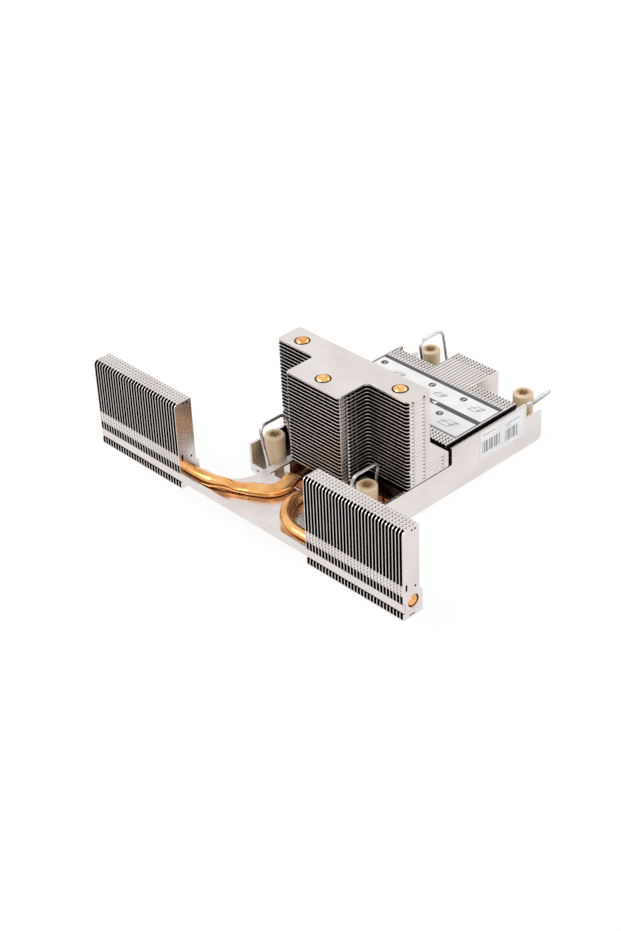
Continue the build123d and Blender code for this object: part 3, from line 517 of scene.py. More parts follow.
class SheetWork:
    """Collects flat sheets, each an outline with holes and a thickness, into one mesh."""

    def __init__(self) -> None:
        """Starts with no sheets."""
        self.points: list[Vector] = []
        self.faces: list[tuple[int, ...]] = []
        self.slots: list[int] = []

    def add(
        self,
        loops: Sequence[Loop],
        low: float,
        high: float,
        along: Along,
        finishes: tuple[int, ...] = (0, 0, 0),
        low_loops: Sequence[Loop] | None = None,
    ) -> None:
        """Adds one sheet.

        Args:
            loops: The outline first, then its holes, in millimetres.
            low: Where the sheet starts along its axis.
            high: Where it ends.
            along: The axis of its thickness.
            finishes: Slots of the low face, the high face, the edges and, if given, the holes.
            low_loops: The same loops at the low end, where they differ there.
        """
        flat = [point for loop in loops for point in loop]
        low_flat = [point for loop in low_loops or loops for point in loop]
        base = len(self.points)
        count = len(flat)
        self.points += [along.place(point, low) for point in low_flat]
        self.points += [along.place(point, high) for point in flat]
        for cap in [tuple(range(count))] if len(loops) == 1 else fill(loops):
            self._face([base + i for i in reversed(cap)], finishes[0])
            self._face([base + count + i for i in cap], finishes[1])
        start = base
        for order, loop in enumerate(loops):
            size = len(loop)
            for i in range(size):
                here = start + i
                there = start + (i + 1) % size
                self._face([here, there, there + count, here + count], finishes[-1 if order else 2])
            start += size

    def _face(self, corners: Sequence[int], slot: int) -> None:
        """Adds one face with its finish slot."""
        self.faces.append(tuple(corners))
        self.slots.append(slot)

    def piece(self, name: str, finishes: Sequence[Finish], slot: str, *nodes: str) -> None:
        """Makes the object and lets it stand for CAD nodes.

        Args:
            name: Name of the piece.
            finishes: Finish of each slot.
            slot: The record's material slot.
            *nodes: CAD nodes that it replaces.
        """
        mesh = bpy.data.meshes.new(name)
        mesh.from_pydata(self.points, [], self.faces)
        mesh.polygons.foreach_set("material_index", self.slots)
        for finish in finishes:
            mesh.materials.append(finish.material())
        work = bmesh.new()
        work.from_mesh(mesh)
        bmesh.ops.recalc_face_normals(work, faces=work.faces)
        work.to_mesh(mesh)
        work.free()
        settle(name, mesh, slot, *nodes)


def settle(name: str, mesh: bpy.types.Mesh, slot: str, *nodes: str) -> None:
    """Puts a piece into the scene and ties it to the fixed body of the frame.

    Args:
        name: Name of the piece.
        mesh: Its mesh.
        slot: The record's material slot; not used.
        *nodes: CAD nodes that it replaces.
    """
    obj = bpy.data.objects.new(name, mesh)
    bpy.context.scene.collection.objects.link(obj)
    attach(obj, "heatsink")
    if nodes:
        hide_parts(*nodes)
    LOG.info("piece %s: %d faces", name, len(mesh.polygons))


def corners_of(node: str) -> tuple[Vector, Vector]:
    """Gives a CAD node's lowest and highest corner in millimetres."""
    low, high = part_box(node)
    return Vector(low) / MM, Vector(high) / MM


def paint(node: str, finish: Finish) -> None:
    """Gives all faces of a carried-over CAD node one finish."""
    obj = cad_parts[node]
    obj.data.materials.clear()
    obj.data.materials.append(finish.material())
    LOG.info("node %s: %s", node, finish.name)


@dataclass(frozen=True)
class ZipperTab:
    """The folded tab that bridges two fins, with the notches and tongues of its interlock."""

    seam: float = 0.1
    slant: float = 0.0
    notch_width: float = 1.1
    notch_depth: float = 0.75
    tongue_gap: float = 0.26

    def outline(self, pitch: Span, reach: Span, notches: Sequence[float]) -> Loop:
        """Gives the tab's outline with its pitch along the first value.

        Args:
            pitch: Where the tab leaves its own fin, and where the next fin stands.
            reach: The tab's two ends across the pitch.
            notches: Middle of each notch, as values between the two ends.

        Returns:
            The loop of points.
        """
        root, tip = pitch
        low, high = reach
        side = math.copysign(1, tip - root)
        far = tip - side * self.seam
        bottom = far - side * self.notch_depth
        half = self.notch_width / 2
        loop: Loop = [(root, low), (far, low + self.slant)]
        for middle in sorted(notches):
            loop += [(far, middle - half), (bottom, middle), (far, middle + half)]
        return [*loop, (far, high - self.slant), (root, high)]

    def loops(self, pitch: Span, reach: Span, notches: Sequence[float]) -> list[Loop]:
        """Gives the tab's outline and the next fin's tongues, a little smaller than the notches.

        Args:
            pitch: As for the outline.
            reach: As for the outline.
            notches: Middle of each notch.

        Returns:
            The outline, then one loop per tongue.
        """
        root, tip = pitch
        half = self.notch_width / 2 - self.tongue_gap / 2
        end = tip - math.copysign(self.notch_depth - self.tongue_gap, tip - root)
        tongues = [[(tip, middle - half), (end, middle), (tip, middle + half)] for middle in notches]
        return [self.outline(pitch, reach, notches), *tongues]

    def lay(
        self,
        work: SheetWork,
        pitch: Span,
        reach: Span,
        notches: Sequence[float],
        level: Span,
        along: Along,
        outer_high: bool,
    ) -> None:
        """Adds one tab and its tongues, with the plain plating outside and painted shade inside.

        Args:
            work: Mesh to add to.
            pitch: As for the outline.
            reach: As for the outline.
            notches: Middle of each notch.
            level: Low and high face of the tab.
            along: Axis of its thickness.
            outer_high: True where the high face looks outwards.
        """
        # Slot 1 is the fin faces' painted shade, laid on the face that looks into the gap.
        finishes = (1, 0, 0) if outer_high else (0, 1, 0)
        for loop in self.loops(pitch, reach, notches):
            work.add([loop], *level, along, finishes)


@dataclass
class WingStack:
    """One of the two fin stacks at the ends of the rail."""

    side: str
    fins: int = 31
    fin: float = 0.4
    corner: float = 1.8
    depth: float = 9.1
    foot_height: float = 10.5
    band_base: float = 11.7
    band_height: float = 5.3
    clearance: float = 0.1
    snug: float = 0.03
    rail_sheet: float = 0.9
    rail_slot_depth: float = 8.1
    pipe_radius: float = 3.0
    top_lead: float = 1.5
    top_notches: tuple[float, ...] = (3.4, 5.2, 7.0)
    band_notches: tuple[float, ...] = (1.0, 2.65, 4.3)
    end_slots: tuple[Box, ...] = (
        (1.3, 13.8, 2.3, 16.9), (6.3, 13.7, 7.2, 14.7), (3.2, 0.9, 6.4, 1.4),
        (4.65, 41.1, 5.55, 42.0), (6.45, 41.1, 7.35, 42.0),
    )
    top_tab: ZipperTab = ZipperTab(slant=0.7, notch_width=1.2, notch_depth=0.88, tongue_gap=0.4)
    band_tab: ZipperTab = ZipperTab(slant=0.35, notch_width=1.1, notch_depth=0.85, tongue_gap=0.4)
    foot_tab: ZipperTab = ZipperTab(seam=0.04)

    def build(self) -> None:
        """Builds the fins and their folded tabs."""
        node = f"wing_stack_{self.side}"
        self.low, self.high = corners_of(node)
        rail_low, rail_high = corners_of("rail_bracket")
        pipe_low, pipe_high = corners_of(f"wing_pipe_{self.side}")
        self.slot = (rail_low.z - self.clearance, rail_low.z + self.rail_sheet + self.snug)
        self.flange_top = rail_high.z + self.clearance
        pipe = (pipe_low.y + self.pipe_radius, pipe_high.z - self.pipe_radius)
        loops = [self.outline(), circle(pipe, self.pipe_radius + self.snug)]
        work = SheetWork()
        pitch = (self.high.x - self.low.x - self.fin) / (self.fins - 1)
        last = self.fins - 1
        for index in range(self.fins):
            start = self.low.x + index * pitch
            # Slot 1 paints shade on every fin face inside the stack; the outer faces of the two end
            # fins keep the plain plating.
            faces = (0 if index == 0 else 1, 0 if index == last else 1, 0)
            slots = self.lances() if index in (0, last) else []
            work.add(loops + slots, start, start + self.fin, Along.X, faces)
            if index < last:
                self.tabs(work, (start + pitch, start + self.fin))
        work.piece(f"{node}_fins", [NICKEL, FIN_FACE_SHADE], "plated_aluminium", node)

    def outline(self) -> Loop:
        """Gives one fin's outline as Y and Z values."""
        front = self.low.y
        rear = front + self.depth
        slot_low, slot_high = self.slot
        slot_rear = front + self.rail_slot_depth
        flange_rear = front + self.rail_sheet + self.clearance
        foot_top = self.low.z + self.foot_height
        corners = [
            (front, self.low.z), (front, slot_low), (slot_rear, slot_low), (slot_rear, slot_high),
            (flange_rear, slot_high), (flange_rear, self.flange_top), (front, self.flange_top),
            (front, self.high.z), (rear, self.high.z), (rear, foot_top), (self.high.y, foot_top),
            (self.high.y, self.low.z),
        ]
        return rounded(corners, [*[0] * 7, self.corner, *[0] * 4])

    def lances(self) -> list[Loop]:
        """Gives the small slots in an outermost fin, where no neighbour's tab hooks in."""
        y, z = self.low.y, self.low.z
        return [box_loop(y + y0, z + z0, y + y1, z + z1) for y0, z0, y1, z1 in self.end_slots]

    def tabs(self, work: SheetWork, pitch: Span) -> None:
        """Adds the tabs that bridge one gap.

        Args:
            work: Mesh to add to.
            pitch: Where the gap ends and starts.
        """
        front = self.low.y
        rear = front + self.depth
        top = [front + notch for notch in self.top_notches]
        level = (self.high.z - self.fin, self.high.z)
        self.top_tab.lay(work, pitch, (front + self.top_lead, rear), top, level, Along.Z, True)
        base = self.low.z + self.band_base
        band = (base, base + self.band_height)
        rows = [base + notch for notch in self.band_notches]
        self.band_tab.lay(work, pitch, band, rows, (front, front + self.fin), Along.Y, False)
        self.band_tab.lay(work, pitch, band, rows, (rear - self.fin, rear), Along.Y, True)
        foot = (self.low.z, self.low.z + self.fin)
        self.foot_tab.lay(work, pitch, (front, self.high.y), (), foot, Along.Z, False)
        foot_top = self.low.z + self.foot_height
        ledge = (foot_top - self.fin, foot_top)
        self.foot_tab.lay(work, pitch, (rear, self.high.y), (), ledge, Along.Z, True)


@dataclass
class Tower:
    """The tall T-shaped stack of level fins and its cover sheet."""

    fins: int = 24
    fin: float = 0.4
    deep_fins: int = 5
    stem_half: float = 16.1
    stem_depth: float = 16.8
    corner: float = 1.6
    rear_corner: float = 0.3
    pipe_radius: float = 3.0
    pipe_gap: float = 0.1
    cover_sheet: float = 0.85
    collar: float = 0.6
    end_rows: tuple[float, ...] = (3.6, 10.3)
    deep_row: float = 3.4
    side_strips: tuple[Span, ...] = ((0.7, 2.0), (2.05, 3.5), (7.2, 7.6), (9.8, 10.1))
    hook: Place = (4.4, 0.55, 0.6)
    seam: float = 0.1
    hook_seam: float = 0.5
    end_tab: ZipperTab = ZipperTab(seam=0.05, notch_width=2.4, notch_depth=1.05, tongue_gap=0.42)
    hook_tab: ZipperTab = ZipperTab(seam=0.0, notch_width=1.9, notch_depth=1.3)

    def build(self) -> None:
        """Builds the stack and its cover."""
        self.low, self.high = corners_of("tower_fins")
        self.rear = corners_of("tower_top")[1].y
        self.bar_front = self.low.y + self.stem_depth
        pitch = (self.high.z - self.low.z - self.fin) / (self.fins - 1)
        work = SheetWork()
        holes = self.holes(self.pipe_radius + self.pipe_gap)
        for index in range(self.fins):
            height = self.low.z + index * pitch
            deep = index < self.deep_fins
            # Slot 1 paints shade on the fins' broad faces; only the top face of the last deep fin,
            # which lies open, keeps the plain plating.
            top_face = 0 if index == self.deep_fins - 1 else 1
            work.add([self.outline(deep), *holes], height, height + self.fin, Along.Z, (1, top_face, 2))
            gap = (height + self.fin, height + pitch)
            if index < self.fins - 1:
                self.end_tabs(work, gap, index < self.deep_fins - 1)
            self.stem_tabs(work, gap)
        work.piece("tower_fin_stack", [NICKEL, FIN_FACE_SHADE, SHEARED], "plated_aluminium", "tower_fins")
        self.cover()

    def cover(self) -> None:
        """Builds the cover sheet with its countersunk collars and folded ends."""
        top = corners_of("tower_top")[1].z
        under = top - self.cover_sheet
        work = SheetWork()
        outline = self.outline(False)
        bore = self.pipe_radius + self.pipe_gap
        wide = [outline, *self.holes(bore + self.collar)]
        # The cover's underside and the countersunk collars round the pipes get painted shade (slot 1).
        work.add(wide, under, top, Along.Z, (1, 0, 0, 1), [outline, *self.holes(bore)])
        reach = (self.bar_front + self.corner, self.rear)
        rows = [self.bar_front + row for row in self.end_rows]
        loop = self.hook_tab.outline((under, self.high.z), reach, rows)
        upright = [(across, level) for level, across in loop]
        for start in (self.low.x, self.high.x - self.fin):
            work.add([upright], start, start + self.fin, Along.X)
        work.piece("tower_cover", [NICKEL, FIN_FACE_SHADE], "plated_aluminium", "tower_top")

    def holes(self, radius: float) -> list[Loop]:
        """Gives a round hole of one radius at each of the three pipes."""
        left, _ = corners_of("tower_pipe_left")
        _, right = corners_of("tower_pipe_right")
        front, _ = corners_of("tower_pipe_front")
        near = self.pipe_radius
        side_y = left.y + near
        centres = ((left.x + near, side_y), (right.x - near, side_y), (front.x + near, front.y + near))
        return [circle(centre, radius) for centre in centres]

    def outline(self, deep: bool) -> Loop:
        """Gives one fin's T-shaped outline.

        Args:
            deep: True for the lowest fins, which reach further to the rear.

        Returns:
            The loop of points.
        """
        rear = self.high.y if deep else self.rear
        left = self.low.x
        right = self.high.x
        front = self.low.y
        stem = self.stem_half
        corners = [
            (left, self.bar_front), (-stem, self.bar_front), (-stem, front), (stem, front),
            (stem, self.bar_front), (right, self.bar_front), (right, rear), (left, rear),
        ]
        return rounded(corners, [*[self.corner] * 6, *[self.rear_corner] * 2])

    def end_tabs(self, work: SheetWork, gap: Span, deep: bool) -> None:
        """Adds the tabs that close one gap at both ends.

        Args:
            work: Mesh to add to.
            gap: Where the gap starts and ends.
            deep: True between two of the deep fins.
        """
        rear = self.high.y if deep else self.rear
        rows = [self.bar_front + row for row in self.end_rows]
        if deep:
            rows.append(self.high.y - self.deep_row)
        reach = (self.bar_front + self.corner, rear)
        for loop in self.end_tab.loops(gap, reach, rows):
            upright = [(across, level) for level, across in loop]
            # The face of each end tab that looks into the gap gets painted shade (slot 1).
            work.add([upright], self.low.x, self.low.x + self.fin, Along.X, (0, 1, 0))
            work.add([upright], self.high.x - self.fin, self.high.x, Along.X, (1, 0, 0))

    def stem_tabs(self, work: SheetWork, gap: Span) -> None:
        """Adds the flush strips at the stem's sides and the bulged hook between them.

        Args:
            work: Mesh to add to.
            gap: Where the gap starts and ends.
        """
        low, high = gap
        front = self.low.y
        offset, width, bulge = self.hook
        for side in (-1, 1):
            face = side * self.stem_half
            inner = face - side * self.fin
            for start, stop in self.side_strips:
                strip = box_loop(front + start, low, front + stop, high - self.seam)
                work.add([strip], min(face, inner), max(face, inner), Along.X)
            near = front + offset
            far = near + width
            hook = [(inner, near), (face, near), (face + side * bulge, far), (inner, far)]
            work.add([hook], low, high - self.hook_seam, Along.Z)


@dataclass
class RearStack:
    """The low stack of upright fins behind the tower."""

    fins: int = 40
    fin: float = 0.4
    tail_half: float = 14.0
    tail_overhang: float = 15.7
    tail_drop: float = 2.6
    front_rows: tuple[float, ...] = (1.3, 3.0, 4.7)
    rear_rows: tuple[float, ...] = (4.7, 3.0, 1.3)
    tab: ZipperTab = ZipperTab(seam=0.34, slant=0.5, notch_width=1.3, notch_depth=0.88, tongue_gap=0.42)
    foot_tab: ZipperTab = ZipperTab(seam=0.05)

    def build(self) -> None:
        """Builds the fins, their folded tops and the tail in the middle."""
        self.low, self.high = corners_of("rear_stack")
        self.base = corners_of("base_block")[1].z
        self.rear = self.high.y - self.tail_overhang
        pitch = (self.high.x - self.low.x - self.fin) / (self.fins - 1)
        middles = [self.low.x + index * pitch + self.fin / 2 for index in range(self.fins)]
        tail = [abs(middle) <= self.tail_half for middle in middles]
        work = SheetWork()
        for index, long_fin in enumerate(tail):
            start = self.low.x + index * pitch
            first = long_fin and not tail[index - 1]
            last = long_fin and not tail[index + 1]
            # Slot 1 paints shade on the fin faces; only the faces at the open sides of the tail keep
            # the plain plating.
            faces = (0 if first else 1, 0 if last else 1, 0)
            work.add([self.outline(long_fin)], start, start + self.fin, Along.X, faces)
            if index < self.fins - 1:
                self.tabs(work, (start + pitch, start + self.fin), long_fin and tail[index + 1])
        work.piece("rear_fin_stack", [NICKEL, FIN_FACE_SHADE], "plated_aluminium", "rear_stack")

    def outline(self, long_fin: bool) -> Loop:
        """Gives one fin's outline as Y and Z values.

        Args:
            long_fin: True for the fins that reach into the tail.

        Returns:
            The loop of points.
        """
        front = self.low.y
        top = self.high.z
        if not long_fin:
            return [(front, self.base), (front, top), (self.rear, top), (self.rear, self.base)]
        foot = self.base - self.tail_drop
        return [
            (front, self.base), (front, top), (self.high.y, top), (self.high.y, foot),
            (self.rear, foot), (self.rear, self.base),
        ]

    def tabs(self, work: SheetWork, pitch: Span, long_gap: bool) -> None:
        """Adds the folded top and foot of one fin, notched near both ends.

        Args:
            work: Mesh to add to.
            pitch: Where the gap ends and starts.
            long_gap: True between two fins of the tail.
        """
        rear = self.high.y if long_gap else self.rear
        front = self.low.y
        rows = [front + row for row in self.front_rows] + [rear - row for row in self.rear_rows]
        level = (self.high.z - self.fin, self.high.z)
        self.tab.lay(work, pitch, (front, rear), rows, level, Along.Z, True)
        foot = (self.base, self.base + self.fin)
        self.foot_tab.lay(work, pitch, (front, self.rear), (), foot, Along.Z, False)


# Strokes of a plain numeral as boxes, in halves of its height.
SEGMENTS: dict[str, Box] = {
    "top": (-0.5, 0.8, 0.5, 1.0),
    "upper_left": (-0.5, 0.0, -0.25, 1.0),
    "upper_right": (0.25, 0.0, 0.5, 1.0),
    "middle": (-0.5, -0.1, 0.5, 0.1),
    "lower_left": (-0.5, -1.0, -0.25, 0.0),
    "lower_right": (0.25, -1.0, 0.5, 0.0),
    "bottom": (-0.5, -1.0, 0.5, -0.8),
}
NUMERALS: dict[int, tuple[str, ...]] = {
    1: ("upper_right", "lower_right"),
    2: ("top", "upper_right", "middle", "lower_left", "bottom"),
    3: ("top", "upper_right", "middle", "lower_right", "bottom"),
    4: ("upper_left", "upper_right", "middle", "lower_right"),
}


def stroke(start: Point, stop: Point, width: float) -> Loop:
    """Gives a straight printed line as a thin rectangle."""
    a, b = Vector(start), Vector(stop)
    along = (b - a).normalized() * (width / 2)
    across = Vector((-along.y, along.x))
    return [tuple(a - across), tuple(b - across), tuple(b + across), tuple(a + across)]


@dataclass
class Stickers:
    """The two stickers and the plain marks printed on them."""

    ink: float = 0.03
    rear_band: Span = (0.15, 2.5)
    middle_band: Span = (14.6, 17.4)
    edge: float = 0.55
    disc_radius: float = 1.75
    numeral_half: float = 1.15
    discs: tuple[tuple[float, float, int], ...] = (
        (-31.7, 22.5, 1), (-1.8, 22.8, 2), (17.1, 23.1, 3), (17.0, 7.4, 4),
    )
    boxes: tuple[Box, ...] = (
        (-19.5, 19.3, 6.2, 3.0), (6.6, 19.0, 6.4, 2.8), (27.0, 20.6, 6.6, 4.2), (25.2, 3.9, 8.4, 5.0),
    )
    box_slant: float = 0.6
    lid_rise: float = 0.1
    box_arrow: tuple[Point, Point] = ((0.4, 0.7), (0.15, -0.2))
    barb: float = 0.9
    line: float = 0.3
    pointer: Place = (7.4, 3.0, 2.4)
    bar_groups: tuple[Place, ...] = ((1.6, 3.1, 11.8), (16.6, 2.3, 8.6))
    bar_pitch: float = 1.05
    bar_height: float = 6.0
    bar_widths: tuple[float, ...] = (0.3, 0.55, 0.8)
    dash_rows: tuple[Point, ...] = ((2.0, 8.0), (16.8, 9.5), (17.6, 4.0))
    dash_pitch: float = 1.6
    dash: Span = (1.0, 0.45)
    dash_drop: float = 2.2
    row_pitch: float = 1.3

    def build(self) -> None:
        """Dresses both stickers and prints plain shapes on them."""
        paint("top_label", VINYL)
        paint("side_label", VINYL)
        self.top_print()
        self.side_print()

    def top_print(self) -> None:
        """Prints the large sticker's bands, border, numbered discs and outlined boxes."""
        low, high = corners_of("top_label")
        work = SheetWork()
        level = high.z
        thin = (level, level + self.ink)
        proud = (level + self.ink, level + 2 * self.ink)
        for near, far in (self.rear_band, self.middle_band):
            work.add([box_loop(low.x, high.y - far, high.x, high.y - near)], *thin, Along.Z)
        middle = high.y - sum(self.middle_band) / 2
        work.add([box_loop(low.x, low.y, high.x, low.y + self.edge)], *thin, Along.Z)
        spans = (
            (low.y + self.edge, high.y - self.middle_band[1]),
            (high.y - self.middle_band[0], high.y - self.rear_band[1]),
        )
        for x in (high.x - self.edge, low.x):
            for start, stop in spans:
                work.add([box_loop(x, start, x + self.edge, stop)], *thin, Along.Z)
        x, length, height = self.pointer
        arrow = [(x, middle), (x + length, middle - height / 2), (x + length, middle + height / 2)]
        work.add([arrow], *proud, Along.Z, (1, 1, 1))
        for disc_x, disc_y, number in self.discs:
            work.add([circle((disc_x, disc_y), self.disc_radius)], *thin, Along.Z)
            for name in NUMERALS[number]:
                x0, y0, x1, y1 = (value * self.numeral_half for value in SEGMENTS[name])
                bar = box_loop(disc_x + x0, disc_y + y0, disc_x + x1, disc_y + y1)
                work.add([bar], *proud, Along.Z, (1, 1, 1))
        for box in self.boxes:
            self.outlined_box(work, box, thin)
        work.piece("top_label_print", [INK, VINYL, FAINT_INK], "label")

    def outlined_box(self, work: SheetWork, box: Box, level: Span) -> None:
        """Prints a plain slanted box with a lid line and an arrow over it.

        Args:
            work: Mesh to add to.
            box: Middle, length and height.
            level: Low and high face of the ink.
        """
        x, y, length, height = box
        slant = height * self.box_slant
        left, right = x - length / 2, x + length / 2
        near, far = y - height / 2, y + height / 2
        corners = [(left, near), (right - slant, near), (right, far), (left + slant, far)]
        lines = [(corners[i], corners[(i + 1) % 4]) for i in range(4)]
        lines += [((left, y), (right - slant / 2, y + height * self.lid_rise))]
        (tail_x, tail_y), (tip_x, tip_y) = self.box_arrow
        tip = (x + length * tip_x, y + height * tip_y)
        lines += [((x + length * tail_x, y + height * tail_y), tip)]
        lines += [(tip, (tip[0] + self.barb, tip[1]))]
        for start, stop in lines:
            work.add([stroke(start, stop, self.line)], *level, Along.Z, (2, 2, 2))

    def side_print(self) -> None:
        """Prints two groups of plain bars and a few faint dashes on the small sticker."""
        low, high = corners_of("side_label")
        work = SheetWork()
        level = (high.x, high.x + self.ink)
        for start, base, length in self.bar_groups:
            bars = round(length / self.bar_pitch)
            z = low.z + base
            for index in range(bars):
                y = low.y + start + index * length / bars
                width = self.bar_widths[index % len(self.bar_widths)]
                work.add([box_loop(y, z, y + width, z + self.bar_height)], *level, Along.X)
        width, height = self.dash
        for row, (start, length) in enumerate(self.dash_rows):
            z = high.z - self.dash_drop - row * self.row_pitch
            for index in range(round(length / self.dash_pitch)):
                y = low.y + start + index * self.dash_pitch
                work.add([box_loop(y, z, y + width, z + height)], *level, Along.X)
        work.piece("side_label_print", [FAINT_INK], "label")


@dataclass
class WingPipe:
    """A pipe to one wing, whose pressed ends flow into its round run."""

    side: str
    voxel: float = 0.4
    share: float = 0.5
    passes: int = 20
    press_reach: float = 9.0
    press_passes: int = 110

    def build(self) -> None:
        """Builds the pipe from the CAD pipe's surface, relaxed where the press left a soft edge."""
        node = f"wing_pipe_{self.side}"
        name = f"{node}_tube"
        rough = bpy.data.objects.new(f"{node}_rough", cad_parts[node].data.copy())
        bpy.context.scene.collection.objects.link(rough)
        remesh = rough.modifiers.new("even_mesh", "REMESH")
        remesh.mode = "VOXEL"
        remesh.voxel_size = self.voxel * MM
        relax = rough.modifiers.new("relax", "SMOOTH")
        relax.factor = self.share
        relax.iterations = self.passes
        shape = rough.evaluated_get(bpy.context.evaluated_depsgraph_get())
        mesh = bpy.data.meshes.new_from_object(shape)
        bpy.data.objects.remove(rough)
        mesh.name = name
        mesh.materials.clear()
        mesh.materials.append(COPPER.material())
        self.ease(mesh)
        for face in mesh.polygons:
            face.use_smooth = True
        settle(name, mesh, "copper", node)

    def ease(self, mesh: bpy.types.Mesh) -> None:
        """Eases the step where the press starts, most at its middle.

        Args:
            mesh: The pipe's even mesh, changed in place.
        """
        work = bmesh.new()
        work.from_mesh(mesh)
        middle = Vector(PRESS_PLACES[self.side]) * MM
        reach = self.press_reach * MM
        near = []
        for vert in work.verts:
            away = (vert.co.xy - middle).length / reach
            if away < 1:
                ring = [edge.other_vert(vert) for edge in vert.link_edges]
                near.append((vert, self.share * (1 - away * away), ring))
        for _ in range(self.press_passes):
            means = [sum((other.co for other in ring), Vector()) / len(ring) for _, _, ring in near]
            for (vert, share, _), mean in zip(near, means):
                vert.co = vert.co.lerp(mean, share)
        work.to_mesh(mesh)
        work.free()


@dataclass
class CarriedParts:
    """Machined and bent pieces whose CAD shape stays, each with its own finish."""

    nickel: tuple[str, ...] = ("tray", "rail_bracket")
    copper: tuple[str, ...] = ("tower_pipe_left", "tower_pipe_right", "tower_pipe_front")
    corners: tuple[str, ...] = ("front_left", "front_right", "rear_left", "rear_right")

    def build(self) -> None:
        """Dresses every carried-over node."""
        for node in self.nickel:
            paint(node, NICKEL)
        for node in self.copper:
            paint(node, SOLDERED_COPPER_SHADED)
        # The base block under the tower gets the fin faces' painted shade.
        paint("base_block", FIN_FACE_SHADE)
        paint("cold_plate", COPPER_PLATE)
        paint("tray_screws", ZINC)
        paint("bracket_screws", ZINC)
        for corner in self.corners:
            paint(f"nut_{corner}", PEEK)
            paint(f"ring_{corner}", ZINC)
            paint(f"bail_{corner}", WIRE)


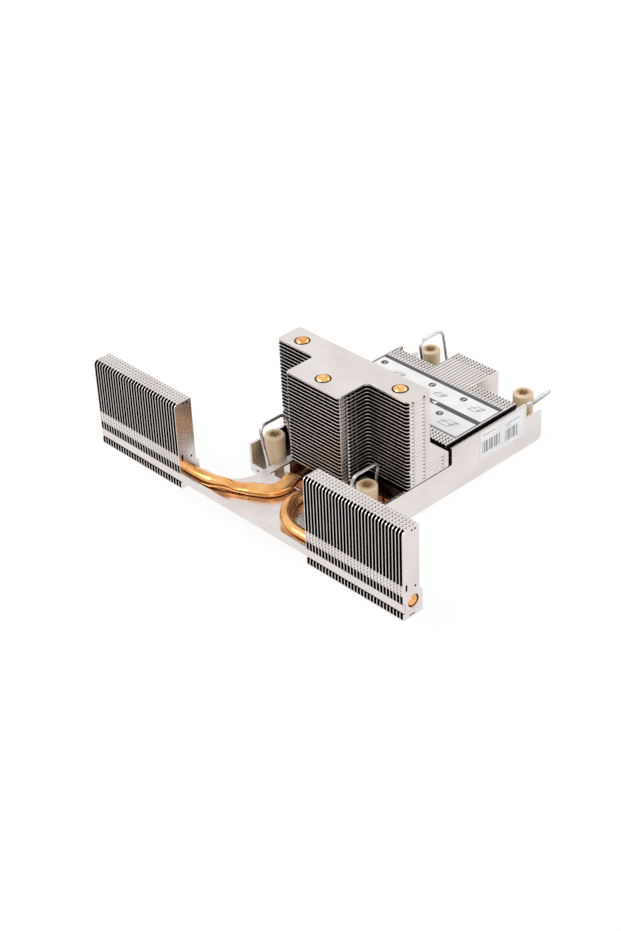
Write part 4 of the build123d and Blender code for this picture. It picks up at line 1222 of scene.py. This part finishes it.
@dataclass
class Studio:
    """A white floor and backdrop, and soft lamps."""

    floor_half: float = 6.0
    floor_drop: float = 0.0003
    floor_colour: str = "#F4F4F4"
    floor_glow: float = 0.86
    paper_light: float = 1.04
    white: str = "#FFFFFF"
    ambient: str = "#D8D6D4"
    key_power: float = 6.0
    fill_power: float = 2.5

    def build(self) -> None:
        """Builds the world, the floor and the lamps."""
        self.world()
        self.floor()
        self.lamp("key", (-0.55, -0.75, 1.0), 0.7, self.key_power)
        self.lamp("fill", (0.9, -0.55, 0.6), 0.8, self.fill_power)
        self.lamp("rim", (0.25, 0.95, 0.8), 0.7, self.fill_power)

    def backdrop_share(self, tree: Tree, share: float) -> Socket:
        """Gives a factor for what the camera, gloss and glass see of the backdrop.

        Args:
            tree: Node tree to add to.
            share: The factor for those rays; others get 0.

        Returns:
            The factor output.
        """
        path = add_node(tree, "ShaderNodeLightPath")
        seen = {0: path.outputs["Is Camera Ray"], 1: path.outputs["Is Glossy Ray"]}
        either = add_node(tree, "ShaderNodeMath", seen, operation="MAXIMUM")
        clear = {0: either.outputs[0], 1: path.outputs["Is Transmission Ray"]}
        any_of_them = add_node(tree, "ShaderNodeMath", clear, operation="MAXIMUM")
        feeds = {0: any_of_them.outputs[0], 1: share}
        return add_node(tree, "ShaderNodeMath", feeds, operation="MULTIPLY").outputs[0]

    def world(self) -> None:
        """Lights all round at a plain level, and is white where it is seen."""
        world = bpy.data.worlds.new("studio")
        bpy.context.scene.world = world
        world.use_nodes = True
        tree = world.node_tree
        tree.nodes.clear()
        seen, around = (
            add_node(tree, "ShaderNodeBackground", {"Color": linear(code), "Strength": 1.0})
            for code in (self.white, self.ambient)
        )
        feeds = {0: self.backdrop_share(tree, 1.0), 1: around.outputs[0], 2: seen.outputs[0]}
        mix = add_node(tree, "ShaderNodeMixShader", feeds)
        add_node(tree, "ShaderNodeOutputWorld", {"Surface": mix.outputs[0]})

    def floor(self) -> None:
        """A plain white floor that keeps the object's faint shadow."""
        half = self.floor_half
        mesh = bpy.data.meshes.new("floor")
        corners = [(x, y, 0) for x, y in box_loop(-half, -half, half, half)]
        mesh.from_pydata(corners, [], [(0, 1, 2, 3)])
        floor = bpy.data.objects.new("floor", mesh)
        floor.location.z = -self.floor_drop
        bpy.context.scene.collection.objects.link(floor)
        material = bpy.data.materials.new("floor_paper")
        material.use_nodes = True
        tree = material.node_tree
        tree.nodes.clear()
        matt = add_node(tree, "ShaderNodeBsdfDiffuse", {"Color": linear(self.floor_colour)})
        shine = {"Color": linear(self.white), "Strength": self.paper_light}
        glow = add_node(tree, "ShaderNodeEmission", shine)
        feeds = {0: self.backdrop_share(tree, self.floor_glow), 1: matt.outputs[0], 2: glow.outputs[0]}
        mix = add_node(tree, "ShaderNodeMixShader", feeds)
        add_node(tree, "ShaderNodeOutputMaterial", {"Surface": mix.outputs[0]})
        mesh.materials.append(material)

    def lamp(self, name: str, place: Place, size: float, power: float) -> None:
        """Adds one square soft lamp that looks at the object.

        Args:
            name: Name of the lamp.
            place: Where it hangs, in metres.
            size: Length of its side.
            power: Power in watts.
        """
        light = bpy.data.lights.new(name, "AREA")
        light.size = size
        light.energy = power
        lamp = bpy.data.objects.new(name, light)
        lamp.location = place
        lamp.rotation_euler = (-Vector(place)).to_track_quat("-Z", "Y").to_euler()
        bpy.context.scene.collection.objects.link(lamp)


@dataclass
class PortraitCamera:
    """The camera that took the portrait, placed by its angles and distance."""

    azimuth: float = 47.80
    elevation: float = 33.90
    roll: float = -2.76
    distance: float = 845.66
    right_shift: float = 41.11
    up_shift: float = 6.34
    base_height: float = 0.8
    lens: float = 71.99
    sensor: float = 36.0
    far_end: float = 20.0

    def build(self) -> None:
        """Places the camera."""
        azimuth, elevation, roll = (math.radians(v) for v in (self.azimuth, self.elevation, self.roll))
        back = Vector((
            math.sin(azimuth) * math.cos(elevation),
            -math.cos(azimuth) * math.cos(elevation),
            math.sin(elevation),
        ))
        level = Vector((0, 0, 1)).cross(back).normalized()
        rise = back.cross(level)
        right = level * math.cos(roll) + rise * math.sin(roll)
        up = rise * math.cos(roll) - level * math.sin(roll)
        place = back * self.distance - right * self.right_shift - up * self.up_shift
        place.z += self.base_height
        data = bpy.data.cameras.new("portrait")
        data.lens = self.lens
        data.sensor_width = self.sensor
        data.sensor_fit = "AUTO"
        data.clip_end = self.far_end
        camera = bpy.data.objects.new("portrait", data)
        turn = Matrix((right, up, back)).transposed().to_4x4()
        camera.matrix_world = Matrix.Translation(place * MM) @ turn
        bpy.context.scene.collection.objects.link(camera)
        bpy.context.scene.camera = camera


def main() -> None:
    """Builds every part in order."""
    logging.basicConfig(level=logging.INFO, format="%(message)s")
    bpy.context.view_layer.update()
    CarriedParts().build()
    for side in PRESS_PLACES:
        WingStack(side).build()
        WingPipe(side).build()
    Tower().build()
    RearStack().build()
    Stickers().build()
    Studio().build()
    PortraitCamera().build()
    bpy.context.scene.view_settings.view_transform = "Standard"


if __name__ == "__main__":
    main()
